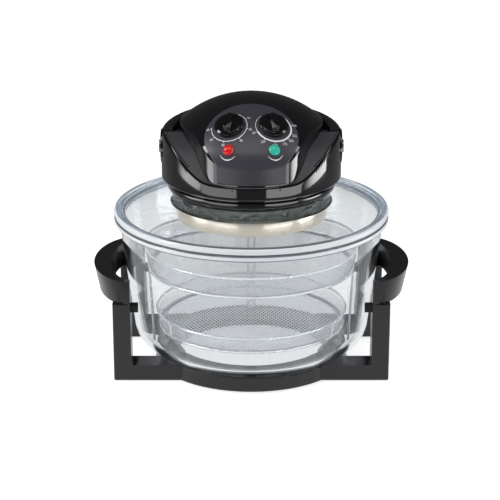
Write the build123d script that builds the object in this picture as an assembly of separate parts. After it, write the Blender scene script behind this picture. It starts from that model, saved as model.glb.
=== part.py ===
from build123d import *
import math
import os

# Worktop halogen oven. Millimetres, +Z up, front towards -Y.
# Origin: on the floor, under the middle of the bowl.

# ---------------------------------------------------------------- driving sizes

# glass bowl and lid
bowl_rim_top = 186.0        # the joint between bowl and lid
bowl_rim_height = 8.0
bowl_neck_radius = 158.5    # outer wall just under the rim
rim_overhang = 6.5          # both glass rims stand out this far from the neck
bowl_base_radius = 118.0    # flat part of the base
bowl_corner = 26.0          # radius of the rounded bottom corner
glass_wall = 5.0
lid_rim_height = 8.5
lid_rim_width = 9.0
lid_slope_rise = 9.0        # from the rim up to the foot of the collar
lid_collar_height = 11.0
lid_wall = 4.5
lid_hole_radius = 88.0

# stand
foot_height = 1.2
foot_radius = 7.0
bar_height = 20.4
frame_face = 83.4           # distance of the leg faces from the middle plane
leg_depth = 29.4
post_setback = 1.0          # posts stand this far inside the glass rims
post_width = 21.2
post_height = 97.0
ring_width = 26.0
ring_height = 18.0
pad_height = 1.8
pad_radius = 7.0
handle_top = 126.0
handle_inset = 23.0         # from the posts' outer face to the centre of the loop's half ellipse
handle_reach = 49.6
handle_grip = 21.6          # width of the loop at its middle
handle_draft = 12.0         # how far the loop's outer face leans, in degrees
bumper_radius = 6.0
bumper_height = 96.0
bumper_inset = 11.0         # from the posts' faces to the studs' middle
shoe_inset = 4.0            # the loops' shoes, from the posts' faces
shoe_depth = 16.0
shoe_length = 15.0
shoe_height = 11.0
tongue_width = 18.0
tongue_height = 5.0
stand_screw_radius = 2.0

# racks
wire_radius = 1.6           # the rings' wire
leg_wire_radius = 1.4       # legs and uprights are of thinner wire
wire_flats = 12
net_thickness = 1.0
net_bar = 2.4
net_cells = 15
net_clearance = 0.15        # from the sheet to the rings' wire
high_rack_overhang = 9.0    # its upper ring, past the flat part of the bowl's floor
high_rack_floor = 123.0
high_rack_depth = 24.0
high_leg_spread = 4.0       # half the gap between a leg's two wires
low_rack_inset = 3.0        # its upper ring, inside that flat part
low_rack_floor = 50.0
low_rack_depth = 18.0
low_leg_inset = 16.0
high_leg_angles = (90, 188, 352)
low_leg_angles = (90, 213, 327)
leg_inset = 4.5             # how far a long leg leans in on its way down
rack_seat = 0.3             # air between a rack's feet and the glass
rack_taper = 3.0            # the lower ring is this much smaller
side_windows = 40

# heater head
head_radius = 107.0         # body shell and carry handle
head_wall = 2.6
shell_bottom = 232.0
shell_rear_top = 263.5
band_top = 248.0            # upper edge of the upright band in front
shoulder_start = 97.0       # the shoulders begin to rise this far in front of the pivots
shoulder_foot = 80.0        # from here to the knee they rise in a straight line
shoulder_foot_height = 257.8
shoulder_foot_sag = 2.0     # depth of the hollow arc before it
shoulder_knee = 62.0
shoulder_knee_height = 275.3
shoulder_bulge = 3.0        # height of the full arc behind it
shoulder_top = 292.6
shoulder_back = 24.5        # the shoulders end this far in front of the pivots
dome_radius = 128.6
dome_centre = 203.0
dome_wall_radius = 84.5
fascia_half_width = 73.0    # half axes of the fascia's plan, which the head's round front cuts off
fascia_reach = 127.0
fascia_radius = 105.5
fascia_corner = 40.0        # radius that rounds the fascia over to its front wall
collar_radius = 100.0
collar_height = 12.0
neck_radius = 97.0
pan_thickness = 2.5
skirt_radius = 88.9
skirt_bottom = 181.0
skirt_wall = 1.2

# carry handle
pivot_height = 268.0
ear_radius = 21.0
handle_inner = 93.0
handle_rise = 8.0           # its top climbs this much from the ears to the rear
handle_base = 265.0
pin_radius = 4.0
pin_clearance = 0.06

# controls
panel_thickness = 1.2
panel_half_width = 54.0
panel_half_depth = 38.0
panel_centre = 72.0         # its middle lies this far in front of the oven's
panel_foot = 250.5          # lower edge
dial_offset = 25.0
dial_depth = 67.0
lamp_offset = 26.0
lamp_depth = 92.5
knob_radius = 17.0
knob_height = 10.5
knob_skirt = 4.0
grip_width = 9.0
grip_length = 24.0
knob_gap = 0.5
shaft_radius = 3.0
shaft_seat = 6.0            # depth of the shaft in its knob
shaft_clearance = 0.06
lens_radius = 6.6
lens_stem = 5.0

# heating and air
tube_ring_radius = 60.0
tube_radius = 5.0
tube_drop = 23.0            # from the reflector down to the tube's middle
guard_wire_radius = 1.0
guard_rings = (35.0, 62.0)
fan_radius = 48.0
fan_blades = 8
motor_radius = 27.0
motor_height = 30.0
cooling_fan_radius = 26.0
gap = 0.3                   # between parts that move past each other

# small parts of the head
vent_count = 20             # slots on each side
vent_first = 17.0           # degrees forward of the pivots
vent_spread = 28.5
vent_width = 1.2
vent_height = 4.5
vent_drop = 3.5             # from the shoulders' edge down to a slot's middle
switch_y = 99.0             # plunger's distance from the middle
switch_angle = 28.0         # the switch stands this far round from the rear
plunger_radius = 2.5
inlet_height = 246.0
inlet_radius = 7.0
screw_radius = 1.5
screw_circle = 80.0
bush_width = 2.5
motor_shaft_radius = 3.0

# ---------------------------------------------------------------- worked-out places

rim_radius = bowl_neck_radius + rim_overhang
post_outer = rim_radius - post_setback
handle_centre = post_outer - handle_inset
ring_outer_radius = bowl_base_radius
ring_inner_radius = ring_outer_radius - ring_width
high_rack_radius = bowl_base_radius + high_rack_overhang
low_rack_radius = bowl_base_radius - low_rack_inset
ring_base = foot_height
ring_top = ring_base + ring_height
bowl_base = ring_top + pad_height
bowl_rim_bottom = bowl_rim_top - bowl_rim_height
lid_base = bowl_rim_top
lid_rim_top = lid_base + lid_rim_height
lid_shoulder = lid_rim_top + lid_slope_rise
lid_top = lid_shoulder + lid_collar_height
seal_height = 1.0
collar_base = lid_top + seal_height
collar_top = collar_base + collar_height
pan_floor = collar_top
dish_height = lid_top + 2.0
tube_height = dish_height - tube_drop
post_inner = post_outer - post_width
bowl_floor = bowl_base + glass_wall
handle_bottom = post_height
ear_top = pivot_height + ear_radius
lip_radius = screw_circle - 8.0
switch_turn = Rot(0, 0, switch_angle)
under_head = skirt_bottom - 20.0    # below and above everything in the head, for cutting bodies
over_head = dome_centre + dome_radius + 60.0
beside_head = head_radius + 45.0

parts = {}


def ring(outer, inner, bottom, top):
    """A flat ring between two radii and two heights."""
    body = Cylinder(outer, top - bottom, align=(Align.CENTER, Align.CENTER, Align.MIN))
    bore = Cylinder(inner, top - bottom + 2, align=(Align.CENTER, Align.CENTER, Align.MIN))
    return Pos(0, 0, bottom) * body - Pos(0, 0, bottom - 1) * bore


def rod(radius, bottom, top, x=0.0, y=0.0):
    """An upright cylinder."""
    body = Cylinder(radius, top - bottom, align=(Align.CENTER, Align.CENTER, Align.MIN))
    return Pos(x, y, bottom) * body


def block(x0, x1, y0, y1, z0, z1):
    """A box between two corners."""
    return Pos((x0 + x1) / 2, (y0 + y1) / 2, (z0 + z1) / 2) * Box(x1 - x0, y1 - y0, z1 - z0)


def turned(outline):
    """A solid turned about Z from a closed outline of lines and arcs in the XZ plane."""
    return revolve(make_face(outline), Axis.Z)


def closed(points):
    """A closed outline of straight lines through (radius, height) points."""
    return Polyline(*[(r, 0, z) for r, z in points], close=True)


# ---------------------------------------------------------------- stand

def stand_ring():
    body = ring(ring_outer_radius, ring_inner_radius, ring_base, ring_top)
    body = fillet(body.edges().filter_by(GeomType.CIRCLE).group_by(Axis.Z)[-1], 2.0)
    for sx in (-1, 1):
        for sy in (-1, 1):
            tongue = tongue_box(sx, sy, gap)
            body -= tongue
            x, y = tongue_screw(sx, sy)
            body -= rod(stand_screw_radius, ring_base, ring_base + 14, x, y)
    return body


def tongue_box(sx, sy, clearance):
    """The flat tongue of a leg that lies in the underside of the ring."""
    inner = ring_inner_radius * 0.9
    y_mid = frame_face - leg_depth / 2
    x0, x1 = sorted((sx * inner, sx * (ring_outer_radius + 2)))
    half = tongue_width / 2 + clearance
    return block(x0, x1, sy * y_mid - half, sy * y_mid + half, ring_base - 1, ring_base + tongue_height + clearance)


def tongue_screw(sx, sy):
    y = frame_face - leg_depth / 2
    middle = (ring_outer_radius + ring_inner_radius) / 2
    return sx * math.sqrt(middle ** 2 - y ** 2), sy * y


def stand_leg(sx, sy):
    """Floor bar and post in one moulding, with a tongue under the ring."""
    y0, y1 = sorted((sy * (frame_face - leg_depth), sy * frame_face))
    x_in, x_out = sorted((sx * ring_inner_radius * 0.75, sx * post_outer))
    bar = block(x_in, x_out, y0, y1, ring_base, bar_height)
    bar -= rod(ring_outer_radius + 0.05, ring_base - 1, bar_height + 1)
    tongue = tongue_box(sx, sy, 0.0) & ring(ring_outer_radius + 1, ring_inner_radius + 3, ring_base, ring_base + tongue_height + 1)
    x_in, x_out = sorted((sx * post_inner, sx * post_outer))
    post = block(x_in, x_out, y0, y1, ring_base, post_height)
    body = bar + post + tongue
    outer_edges = body.edges().filter_by(Axis.Z).filter_by(
        lambda e: abs(abs(e.center().X) - post_outer) < 0.01)
    body = fillet(outer_edges, 3.0)
    x, y = tongue_screw(sx, sy)
    body -= rod(stand_screw_radius + 0.3, ring_base - 1, ring_base + 7, x, y)
    foot_x, foot_y = foot_place(sx, sy)
    body -= rod(foot_radius + 0.05, ring_base - 1, ring_base + 1.0, foot_x, foot_y)
    screw_x, screw_y = handle_screw(sx, sy)
    body -= rod(stand_screw_radius, post_height - 10, post_height + 1, screw_x, screw_y)
    return body


def foot_place(sx, sy):
    return sx * (post_inner + post_width / 2), sy * (frame_face - leg_depth / 2)


def handle_screw(sx, sy):
    return sx * (post_inner + 8.5), sy * (frame_face - 8.5)


def feet():
    return Compound(children=[rod(foot_radius, 0, ring_base + 1.0, *foot_place(sx, sy))
                              for sx in (-1, 1) for sy in (-1, 1)])


def stand_screws():
    screws = []
    for sx in (-1, 1):
        for sy in (-1, 1):
            x, y = tongue_screw(sx, sy)
            screws.append(rod(stand_screw_radius, ring_base + 0.2, ring_base + 13.9, x, y))
    return Compound(children=screws)


def handle_screws():
    screws = []
    for sx in (-1, 1):
        for sy in (-1, 1):
            x, y = handle_screw(sx, sy)
            screws.append(rod(stand_screw_radius, post_height - 9.9, post_height + 8, x, y))
    return Compound(children=screws)


def handle_loop(sx):
    """Half an elliptical ring on two shoes, with an outer face that leans in downwards."""
    height = handle_top - handle_bottom
    lean = math.tan(math.radians(handle_draft)) * height
    top = Plane.XY.offset(handle_top) * Pos(sx * handle_centre, 0) * Ellipse(handle_reach, frame_face)
    low = Plane.XY.offset(handle_bottom) * Pos(sx * handle_centre, 0) * Ellipse(
        handle_reach - lean, frame_face - 0.1)
    body = loft([low.face(), top.face()])
    hole = Pos(sx * handle_centre, 0, handle_bottom - 1) * extrude(
        Ellipse(handle_reach - handle_grip, frame_face - 7.4), height + 2)
    x0, x1 = sorted((sx * post_inner, sx * (handle_centre + handle_reach + 5)))
    keep = block(x0, x1, -frame_face - 5, frame_face + 5, handle_bottom - 1, handle_top + 1)
    body = (body - hole) & keep
    for sy in (-1, 1):
        y0, y1 = sorted((sy * (frame_face - shoe_inset - shoe_depth), sy * (frame_face - shoe_inset)))
        x0, x1 = sorted((sx * post_inner, sx * (post_inner + shoe_length)))
        body += block(x0, x1, y0, y1, handle_bottom, handle_bottom + shoe_height)
        x, y = handle_screw(sx, sy)
        body -= rod(stand_screw_radius, handle_bottom - 1, handle_bottom + 8.1, x, y)
    return body


def bumpers():
    """Rubber studs on the posts that end just short of the glass."""
    y_near = frame_face - bumper_inset - bumper_radius
    glass = math.sqrt(bowl_radius_at(bumper_height) ** 2 - y_near ** 2)
    bumper_length = post_inner - glass - gap
    group = []
    for sx in (-1, 1):
        for sy in (-1, 1):
            y = sy * (frame_face - bumper_inset)
            x = sx * (post_inner - bumper_length / 2)
            pin = Rot(0, 90, 0) * Cylinder(bumper_radius, bumper_length)
            group.append(Pos(x, y, bumper_height - bumper_radius) * pin)
    return Compound(children=group)


def bowl_pads():
    radius = (ring_inner_radius + bowl_base_radius) / 2
    return Compound(children=[rod(pad_radius, ring_top, bowl_base, radius * math.cos(a), radius * math.sin(a))
                              for a in [math.radians(90 * i) for i in range(4)]])


# ---------------------------------------------------------------- glass

def bowl_outline(inset):
    """Half section of the bowl up to its neck, moved in by the glass thickness for the inside."""
    base = bowl_base + inset
    corner_radius = bowl_corner - inset
    centre = (bowl_base_radius, bowl_base + bowl_corner)
    neck = (bowl_neck_radius - inset, bowl_rim_bottom)
    reach = math.hypot(neck[0] - centre[0], neck[1] - centre[1])
    steep = math.atan2(neck[1] - centre[1], neck[0] - centre[0]) - math.acos(corner_radius / reach)
    end = (centre[0] + corner_radius * math.cos(steep), centre[1] + corner_radius * math.sin(steep))
    half_turn = (steep - math.pi / 2) / 2
    middle = (centre[0] + corner_radius * math.cos(half_turn), centre[1] + corner_radius * math.sin(half_turn))
    corner = ThreePointArc((centre[0], 0, base), (middle[0], 0, middle[1]), (end[0], 0, end[1]))
    wall = Line((end[0], 0, end[1]), (neck[0], 0, neck[1]))
    return Line((0, 0, base), (centre[0], 0, base)) + corner + wall, neck, base


def bowl_radius_at(height):
    """Outer radius of the bowl's straight wall at a height."""
    outline, neck, base = bowl_outline(0.0)
    end = outline @ 1
    foot = outline.edges().filter_by(GeomType.CIRCLE)[0]
    foot = max((foot @ 0, foot @ 1), key=lambda point: point.Z)
    return foot.X + (end.X - foot.X) * (height - foot.Z) / (end.Z - foot.Z)


def glass_bowl():
    section, neck, base = bowl_outline(0.0)
    rim = Polyline((neck[0], 0, neck[1]), (rim_radius - 1.5, 0, bowl_rim_bottom),
                   (rim_radius, 0, bowl_rim_bottom + 1.5), (rim_radius, 0, bowl_rim_top - 1.0),
                   (rim_radius - 1.0, 0, bowl_rim_top), (0, 0, bowl_rim_top), (0, 0, base))
    outer = turned(section + rim)
    section, neck, base = bowl_outline(glass_wall)
    mouth = bowl_rim_top + 1
    mouth_line = Polyline((neck[0], 0, neck[1]), (neck[0] + 1.0, 0, mouth), (0, 0, mouth), (0, 0, base))
    return outer - turned(section + mouth_line)


def glass_lid():
    """Rim, a gently rising annulus and a collar that carries the head."""
    inner_rim = rim_radius - lid_rim_width
    collar_outer = lid_hole_radius + lid_wall
    return turned(closed([
        (inner_rim, lid_base), (rim_radius - 1.0, lid_base), (rim_radius, lid_base + 1.0),
        (rim_radius, lid_rim_top - 2.5), (rim_radius - 2.5, lid_rim_top), (inner_rim + 1.5, lid_rim_top),
        (inner_rim - 2.0, lid_rim_top - 1.5), (collar_outer + 4, lid_shoulder - 1.5), (collar_outer, lid_shoulder + 1),
        (collar_outer, lid_top), (lid_hole_radius, lid_top), (lid_hole_radius, lid_shoulder - lid_wall - 0.5),
        (inner_rim - 3.0, lid_rim_top - lid_wall - 2.0), (inner_rim - 1.0, lid_base + 1.0)]))


def lid_seal():
    return ring(lid_hole_radius + lid_wall, lid_hole_radius, lid_top, collar_base)


# ---------------------------------------------------------------- racks

def holed_disc(radius, height):
    """A flat net: one disc with a square grid of gaps."""
    pitch = 2 * radius / net_cells
    cell = (pitch - net_bar) / 2
    gaps = []
    half = net_cells // 2
    for i in range(-half, half + 1):
        for j in range(-half, half + 1):
            x, y = i * pitch, j * pitch
            if math.hypot(abs(x) + cell, abs(y) + cell) < radius - net_bar:
                gaps.append(Wire.make_polygon([(x - cell, y - cell, height), (x + cell, y - cell, height),
                                               (x + cell, y + cell, height), (x - cell, y + cell, height)]))
    outline = Wire.make_circle(radius, Plane.XY.offset(height))
    return extrude(Face(outline, gaps), net_thickness, dir=(0, 0, 1))


def side_band(radius, bottom, top):
    """A thin cone that stands on the net, with a row of windows."""
    low, high = radius - rack_taper, radius
    band = turned(closed([(low - net_thickness, bottom), (low, bottom), (high, top), (high - net_thickness, top)]))
    height = (top - bottom) * 0.5
    middle = (top + bottom) / 2
    width = 2 * math.pi * radius / side_windows * 0.6
    windows = [Rot(0, 0, 360 * i / side_windows) * Pos(radius - rack_taper / 2, 0, middle) * Box(12, width, height)
               for i in range(side_windows)]
    return band - windows


def rack_net(radius, floor):
    """Net floor of a basket, inside its lower ring."""
    return holed_disc(radius - wire_radius - net_clearance - rack_taper, floor - net_thickness / 2)


def rack_band(radius, floor, depth):
    """Side band of a basket, on the net's edge and inside the rings."""
    return side_band(radius - wire_radius - net_clearance, floor + net_thickness / 2, floor + depth)


def wire_ring(radius, height, section):
    """A wire ring about Z, its round section drawn with twelve flats."""
    return revolve(Plane.XZ * Pos(radius, height) * RegularPolygon(section, wire_flats), Axis.Z)


def hairpin(top_radius, low_radius, top, angle):
    """A leg of one wire, bent into an upright loop."""
    half = high_leg_spread
    low = bowl_floor + rack_seat + leg_wire_radius
    path = FilletPolyline((top_radius, -half, top), (low_radius, -half, low),
                          (low_radius, half, low), (top_radius, half, top), radius=half * 0.7)
    section = Plane(path @ 0, z_dir=path % 0) * Circle(leg_wire_radius)
    return Rot(0, 0, angle) * sweep(section, path=path)


def basket_frame(radius, floor, depth, foot_inset, leg_angles):
    """The two rings of a basket, tied by an upright over each leg, as one weldment."""
    low = radius - rack_taper
    line = Line((low, 0, floor), (radius, 0, floor + depth))
    upright = sweep(Plane(line @ 0, z_dir=line % 0) * Circle(leg_wire_radius), path=line)
    pieces = [wire_ring(low, floor, wire_radius)]
    pieces += [Rot(0, 0, angle) * upright for angle in leg_angles]
    pieces += [hairpin(low, low - foot_inset, floor, angle) for angle in leg_angles]
    return wire_ring(radius, floor + depth, wire_radius) + pieces


def high_rack_frame():
    return basket_frame(high_rack_radius, high_rack_floor, high_rack_depth, leg_inset, high_leg_angles)


def low_rack_frame():
    return basket_frame(low_rack_radius, low_rack_floor, low_rack_depth, low_leg_inset, low_leg_angles)


# ---------------------------------------------------------------- heater head

def corner_place():
    """Radius and height of the centre of the arc between the ball and the fascia's front wall."""
    radius = fascia_radius - fascia_corner
    return radius, dome_centre + math.sqrt((dome_radius - fascia_corner) ** 2 - radius ** 2)


def fascia_turned(inset, bottom):
    """The fascia before it is narrowed: the ball's arc, the corner's arc and the front wall, turned."""
    corner_x, corner_z = corner_place()
    ball, corner = dome_radius - inset, fascia_corner - inset
    lean = math.atan2(corner_z - dome_centre, corner_x)
    high = (lean + math.pi / 2) / 2
    crown = ThreePointArc((0, 0, dome_centre + ball),
                          (ball * math.cos(high), 0, dome_centre + ball * math.sin(high)),
                          (ball * math.cos(lean), 0, dome_centre + ball * math.sin(lean)))
    bend = ThreePointArc(crown @ 1,
                         (corner_x + corner * math.cos(lean / 2), 0, corner_z + corner * math.sin(lean / 2)),
                         (corner_x + corner, 0, corner_z))
    wall = Polyline((corner_x + corner, 0, corner_z), (corner_x + corner, 0, bottom), (0, 0, bottom),
                    (0, 0, dome_centre + ball))
    return turned(crown + bend + wall)


def dome_solid(inset):
    """Ball-shaped cover on a round wall, with the fascia standing forward of it like a visor."""
    bottom = shell_rear_top - 30.0
    drum = rod(dome_wall_radius - inset, bottom + 10, over_head)
    plan = Pos(0, 0, bottom) * extrude(Ellipse(fascia_half_width - inset, fascia_reach - inset), over_head)
    front = plan & block(-beside_head, beside_head, -beside_head, 0, bottom, over_head)
    ball = Pos(0, 0, dome_centre) * Sphere(dome_radius - inset)
    return (ball & drum) + (fascia_turned(inset, bottom) & front)


def shoulder_points():
    """(y, z) along the shoulders' surface: level, a hollow arc, a straight rise and a full arc, with the arcs' middles."""
    start, foot = (-shoulder_start, band_top), (-shoulder_foot, shoulder_foot_height)
    knee, back = (-shoulder_knee, shoulder_knee_height), (-shoulder_back, shoulder_top)

    def middle(a, b, rise):
        length = math.dist(a, b)
        return ((a[0] + b[0]) / 2 - rise * (b[1] - a[1]) / length, (a[1] + b[1]) / 2 + rise * (b[0] - a[0]) / length)

    return start, middle(start, foot, -shoulder_foot_sag), foot, knee, middle(knee, back, shoulder_bulge), back


def arc_height(a, b, c, y):
    """Height over y of the arc through three (y, z) points."""
    turn = 2 * (a[0] * (b[1] - c[1]) + b[0] * (c[1] - a[1]) + c[0] * (a[1] - b[1]))
    sa, sb, sc = [p[0] ** 2 + p[1] ** 2 for p in (a, b, c)]
    middle_y = (sa * (b[1] - c[1]) + sb * (c[1] - a[1]) + sc * (a[1] - b[1])) / turn
    middle_z = (sa * (c[0] - b[0]) + sb * (a[0] - c[0]) + sc * (b[0] - a[0])) / turn
    radius = math.dist(a, (middle_y, middle_z))
    return middle_z + math.copysign(math.sqrt(radius ** 2 - (y - middle_y) ** 2), b[1] - middle_z)


def shoulder_height(y):
    start, sag, foot, knee, bulge, back = shoulder_points()
    if y < start[0]:
        return band_top
    if y < foot[0]:
        return arc_height(start, sag, foot, y)
    if y < knee[0]:
        return foot[1] + (knee[1] - foot[1]) * (y - foot[0]) / (knee[0] - foot[0])
    return arc_height(knee, bulge, back, y)


def shoulder_cut(extra):
    """Everything above the shoulders' surface, in front of the ears."""
    top, side, front = over_head, -beside_head, -head_radius - 5
    start, sag, foot, knee, bulge, back = [(side, y, z - extra) for y, z in shoulder_points()]
    rear = -shoulder_back + 1.0
    outline = Polyline((side, front, top), (side, front, start[2]), start)
    outline += ThreePointArc(start, sag, foot) + Line(foot, knee) + ThreePointArc(knee, bulge, back)
    outline += Polyline(back, (side, rear, back[2]), (side, rear, top), (side, front, top))
    return extrude(make_face(outline), 2 * beside_head, dir=(1, 0, 0))


def body_solid(inset):
    radius = head_radius - inset
    low = rod(radius, shell_bottom - 1 if inset else shell_bottom, shell_rear_top - inset)
    block_back = -shoulder_back - inset
    high = rod(radius, shell_bottom - 1 if inset else shell_bottom, shoulder_top) & block(
        -beside_head, beside_head, -beside_head, block_back, shell_bottom - 5, over_head)
    return low + high - shoulder_cut(inset)


def body_shell():
    body = body_solid(0.0) - body_solid(head_wall)
    body -= dome_solid(-0.1)
    body -= rod(dome_wall_radius - head_wall, shell_rear_top - 10, over_head)
    lip = ring(head_radius - head_wall + 0.5, lip_radius, shell_bottom, shell_bottom + head_wall)
    body += lip
    for sx in (-1, 1):
        x0, x1 = sorted((sx * (handle_inner - bush_width - 0.1), sx * beside_head))
        ear_room = ear_radius + 1.0
        body -= block(x0, x1, -ear_room, ear_room, pivot_height - ear_radius - 1.0, over_head)
        x0, x1 = sorted((sx * (handle_inner - bush_width - 0.1 - head_wall), sx * (handle_inner - bush_width - 0.1)))
        cheek = block(x0, x1, -ear_room, ear_room, pivot_height - ear_radius - 1.0 - head_wall, shell_rear_top)
        x0, x1 = sorted((sx * (handle_inner - bush_width - 0.1 - head_wall), sx * (head_radius - 1.5)))
        sill = block(x0, x1, -ear_room - head_wall, ear_room + head_wall,
                     pivot_height - ear_radius - 1.0 - head_wall, pivot_height - ear_radius - 1.0)
        sill &= rod(head_radius - 0.5, under_head, over_head)
        cheek &= rod(head_radius - 0.5, under_head, over_head)
        body += cheek + sill
        body -= [vent_slot(sx, i) for i in range(vent_count)]
    body -= switch_turn * rod(plunger_radius + shaft_clearance, shell_rear_top - 5, shell_rear_top + 1, 0, switch_y)
    body -= Pos(0, head_radius, inlet_height) * Rot(90, 0, 0) * Cylinder(inlet_radius, 20)
    for x, y in head_screw_places():
        boss = rod(4.5, shell_bottom + head_wall, shell_bottom + 16, x, y)
        body += boss
        body -= rod(screw_radius, shell_bottom - 1, shell_bottom + 14, x, y)
    return body


def vent_slot(sx, i):
    """A small upright slot just below the shoulder's edge."""
    turn = math.radians(vent_first + vent_spread * i / (vent_count - 1))
    x, y = sx * head_radius * math.cos(turn), -head_radius * math.sin(turn)
    height = shoulder_height(y) - vent_drop
    return Pos(x, y, height) * Rot(0, 0, -math.degrees(turn) if sx > 0 else 180 + math.degrees(turn)) * Box(
        8, vent_width, vent_height)


def head_screw_places():
    turns = [math.radians(a) for a in (45, 135, 225, 315)]
    return [(screw_circle * math.cos(a), screw_circle * math.sin(a)) for a in turns]


def dome_cover():
    body = dome_solid(0.0) - dome_solid(head_wall)
    body -= block(-beside_head, beside_head, -beside_head, beside_head, under_head, band_top)
    clear = body_solid(-0.05) - rod(dome_wall_radius - 0.4, under_head, over_head)
    for sx in (-1, 1):
        face = handle_inner - bush_width
        boss = Pos(sx * (dome_wall_radius - 1.5 + face) / 2, 0, pivot_height) * Rot(0, 90, 0) * Cylinder(
            ear_radius - 2.0, face - dome_wall_radius + 1.5)
        boss &= block(-beside_head, beside_head, -ear_radius, ear_radius, shell_rear_top + 0.1, over_head)
        boss &= rod(face, under_head, over_head)
        body += boss
        body -= Pos(sx * handle_inner, 0, pivot_height) * Rot(0, 90, 0) * Cylinder(pin_radius, 24)
    body -= clear
    for plane in dial_planes():
        body -= plane * Cylinder(shaft_radius + shaft_clearance, 20)
    for plane in lamp_planes():
        body -= plane * Cylinder(lens_stem, 20)
    return body


def control_plane(x, y):
    """The plane that touches the panel over (x, y), with its normal pointing out."""
    reach = math.hypot(x, y)
    corner_x, corner_z = corner_place()
    if reach * (dome_radius - fascia_corner) < corner_x * dome_radius:
        centre, radius = Vector(0, 0, dome_centre), dome_radius
        normal = Vector(x, y, math.sqrt(radius ** 2 - reach ** 2)).normalized()
    else:
        centre, radius = Vector(x, y, 0) * (corner_x / reach) + Vector(0, 0, corner_z), fascia_corner
        out = reach - corner_x
        normal = (Vector(x, y, 0) * (out / reach) + Vector(0, 0, math.sqrt(radius ** 2 - out ** 2))).normalized()
    origin = centre + normal * (radius + panel_thickness)
    return Plane(origin=origin, x_dir=Vector(0, 0, 1).cross(normal).normalized(), z_dir=normal)


def dial_planes():
    return [control_plane(sx * dial_offset, -dial_depth) for sx in (-1, 1)]


def lamp_planes():
    return [control_plane(sx * lamp_offset, -lamp_depth) for sx in (-1, 1)]


def control_panel():
    """A thin moulded skin that follows the fascia, with holes for shafts and lenses."""
    skin = fascia_turned(-panel_thickness, under_head) - fascia_turned(-0.02, under_head - 1)
    plan = Pos(0, -panel_centre) * Ellipse(panel_half_width, panel_half_depth)
    body = skin & Pos(0, 0, panel_foot) * extrude(plan, over_head - panel_foot)
    for plane in dial_planes():
        body -= plane * Cylinder(shaft_radius + shaft_clearance, 20)
    for plane in lamp_planes():
        body -= plane * Cylinder(lens_stem, 20)
    return body


def knob(plane):
    """Skirted knob with a raised grip bar."""
    skirt = Pos(0, 0, knob_gap + knob_skirt / 2) * Cylinder(knob_radius, knob_skirt)
    skirt = fillet(skirt.edges().group_by(Axis.Z)[-1], 1.2)
    rise = knob_height - knob_skirt
    grip = Pos(0, 0, knob_gap + knob_skirt + rise / 2) * Box(grip_width, grip_length, rise)
    grip = fillet(grip.edges().filter_by(Axis.Z), 3.5)
    body = skirt + grip
    body -= Pos(0, 0, knob_gap) * Cylinder(shaft_radius, 2 * shaft_seat)
    return plane * body


def knob_shaft(plane):
    return plane * Pos(0, 0, -4.0) * Cylinder(shaft_radius, 2 * (knob_gap + shaft_seat + 4.0))


def control_unit(plane, width, height, depth):
    """Clockwork timer or thermostat on the inside of the dome."""
    inside = -(head_wall + panel_thickness) - 0.3
    below = inside - 3.0 - depth / 2
    body = plane * Pos(0, 0, below) * Box(width, height, depth)
    neck = plane * Pos(0, 0, inside - 1.6) * Cylinder(6.0, 3.2)
    body += neck
    return body - plane * Cylinder(shaft_radius + shaft_clearance, 2 * 15.0)


def lens(plane):
    """Domed lens on a stem through the panel."""
    cap = Sphere(lens_radius) & Pos(0, 0, 2.6) * Box(20, 20, 5)
    stem = Pos(0, 0, -2.4) * Cylinder(lens_stem - 0.05, 5.2)
    return plane * (cap + stem)


def lamp_bodies():
    group = []
    for plane in lamp_planes():
        group.append(plane * Pos(0, 0, -13.0) * Cylinder(lens_stem - 0.4, 16.0))
    return Compound(children=group)


def carry_handle():
    """Half ring at the rear that climbs from two round ears, with bores for the pins."""
    half = ring(head_radius, handle_inner, handle_base, ear_top + handle_rise)
    side = -beside_head
    slope = handle_rise / head_radius
    below = make_face(Polyline((side, 0, under_head), (side, beside_head, under_head),
                               (side, beside_head, ear_top + slope * beside_head), (side, 0, ear_top),
                               close=True))
    half &= extrude(below, 2 * beside_head, dir=(1, 0, 0))
    for sx in (-1, 1):
        width = head_radius + 0.5 - handle_inner
        ear = Pos(sx * (handle_inner + width / 2), 0, pivot_height) * Rot(0, 90, 0) * Cylinder(ear_radius, width)
        half += ear
        half -= Pos(sx * handle_inner, 0, pivot_height) * Rot(0, 90, 0) * Cylinder(pin_radius + pin_clearance, 60)
    return half


def pivot_pins():
    """Pins with a round cap outside each ear."""
    group = []
    for sx in (-1, 1):
        inner = dome_wall_radius - 1.5
        outer = head_radius + 0.8
        pin = Pos(sx * (inner + outer) / 2, 0, pivot_height) * Rot(0, 90, 0) * Cylinder(pin_radius, outer - inner)
        cap = Pos(sx * (outer + 0.9), 0, pivot_height) * Rot(0, 90, 0) * Cylinder(7.5, 1.8)
        group.append(pin + cap)
    return Compound(children=group)


def pivot_bushes():
    group = []
    for sx in (-1, 1):
        inner, outer = handle_inner - bush_width, handle_inner - 0.5
        bush = Pos(sx * (inner + outer) / 2, 0, pivot_height) * Rot(0, 90, 0) * Cylinder(8.5, outer - inner)
        bush -= Pos(sx * (inner + outer) / 2, 0, pivot_height) * Rot(0, 90, 0) * Cylinder(pin_radius, 10)
        group.append(bush)
    return Compound(children=group)


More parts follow.
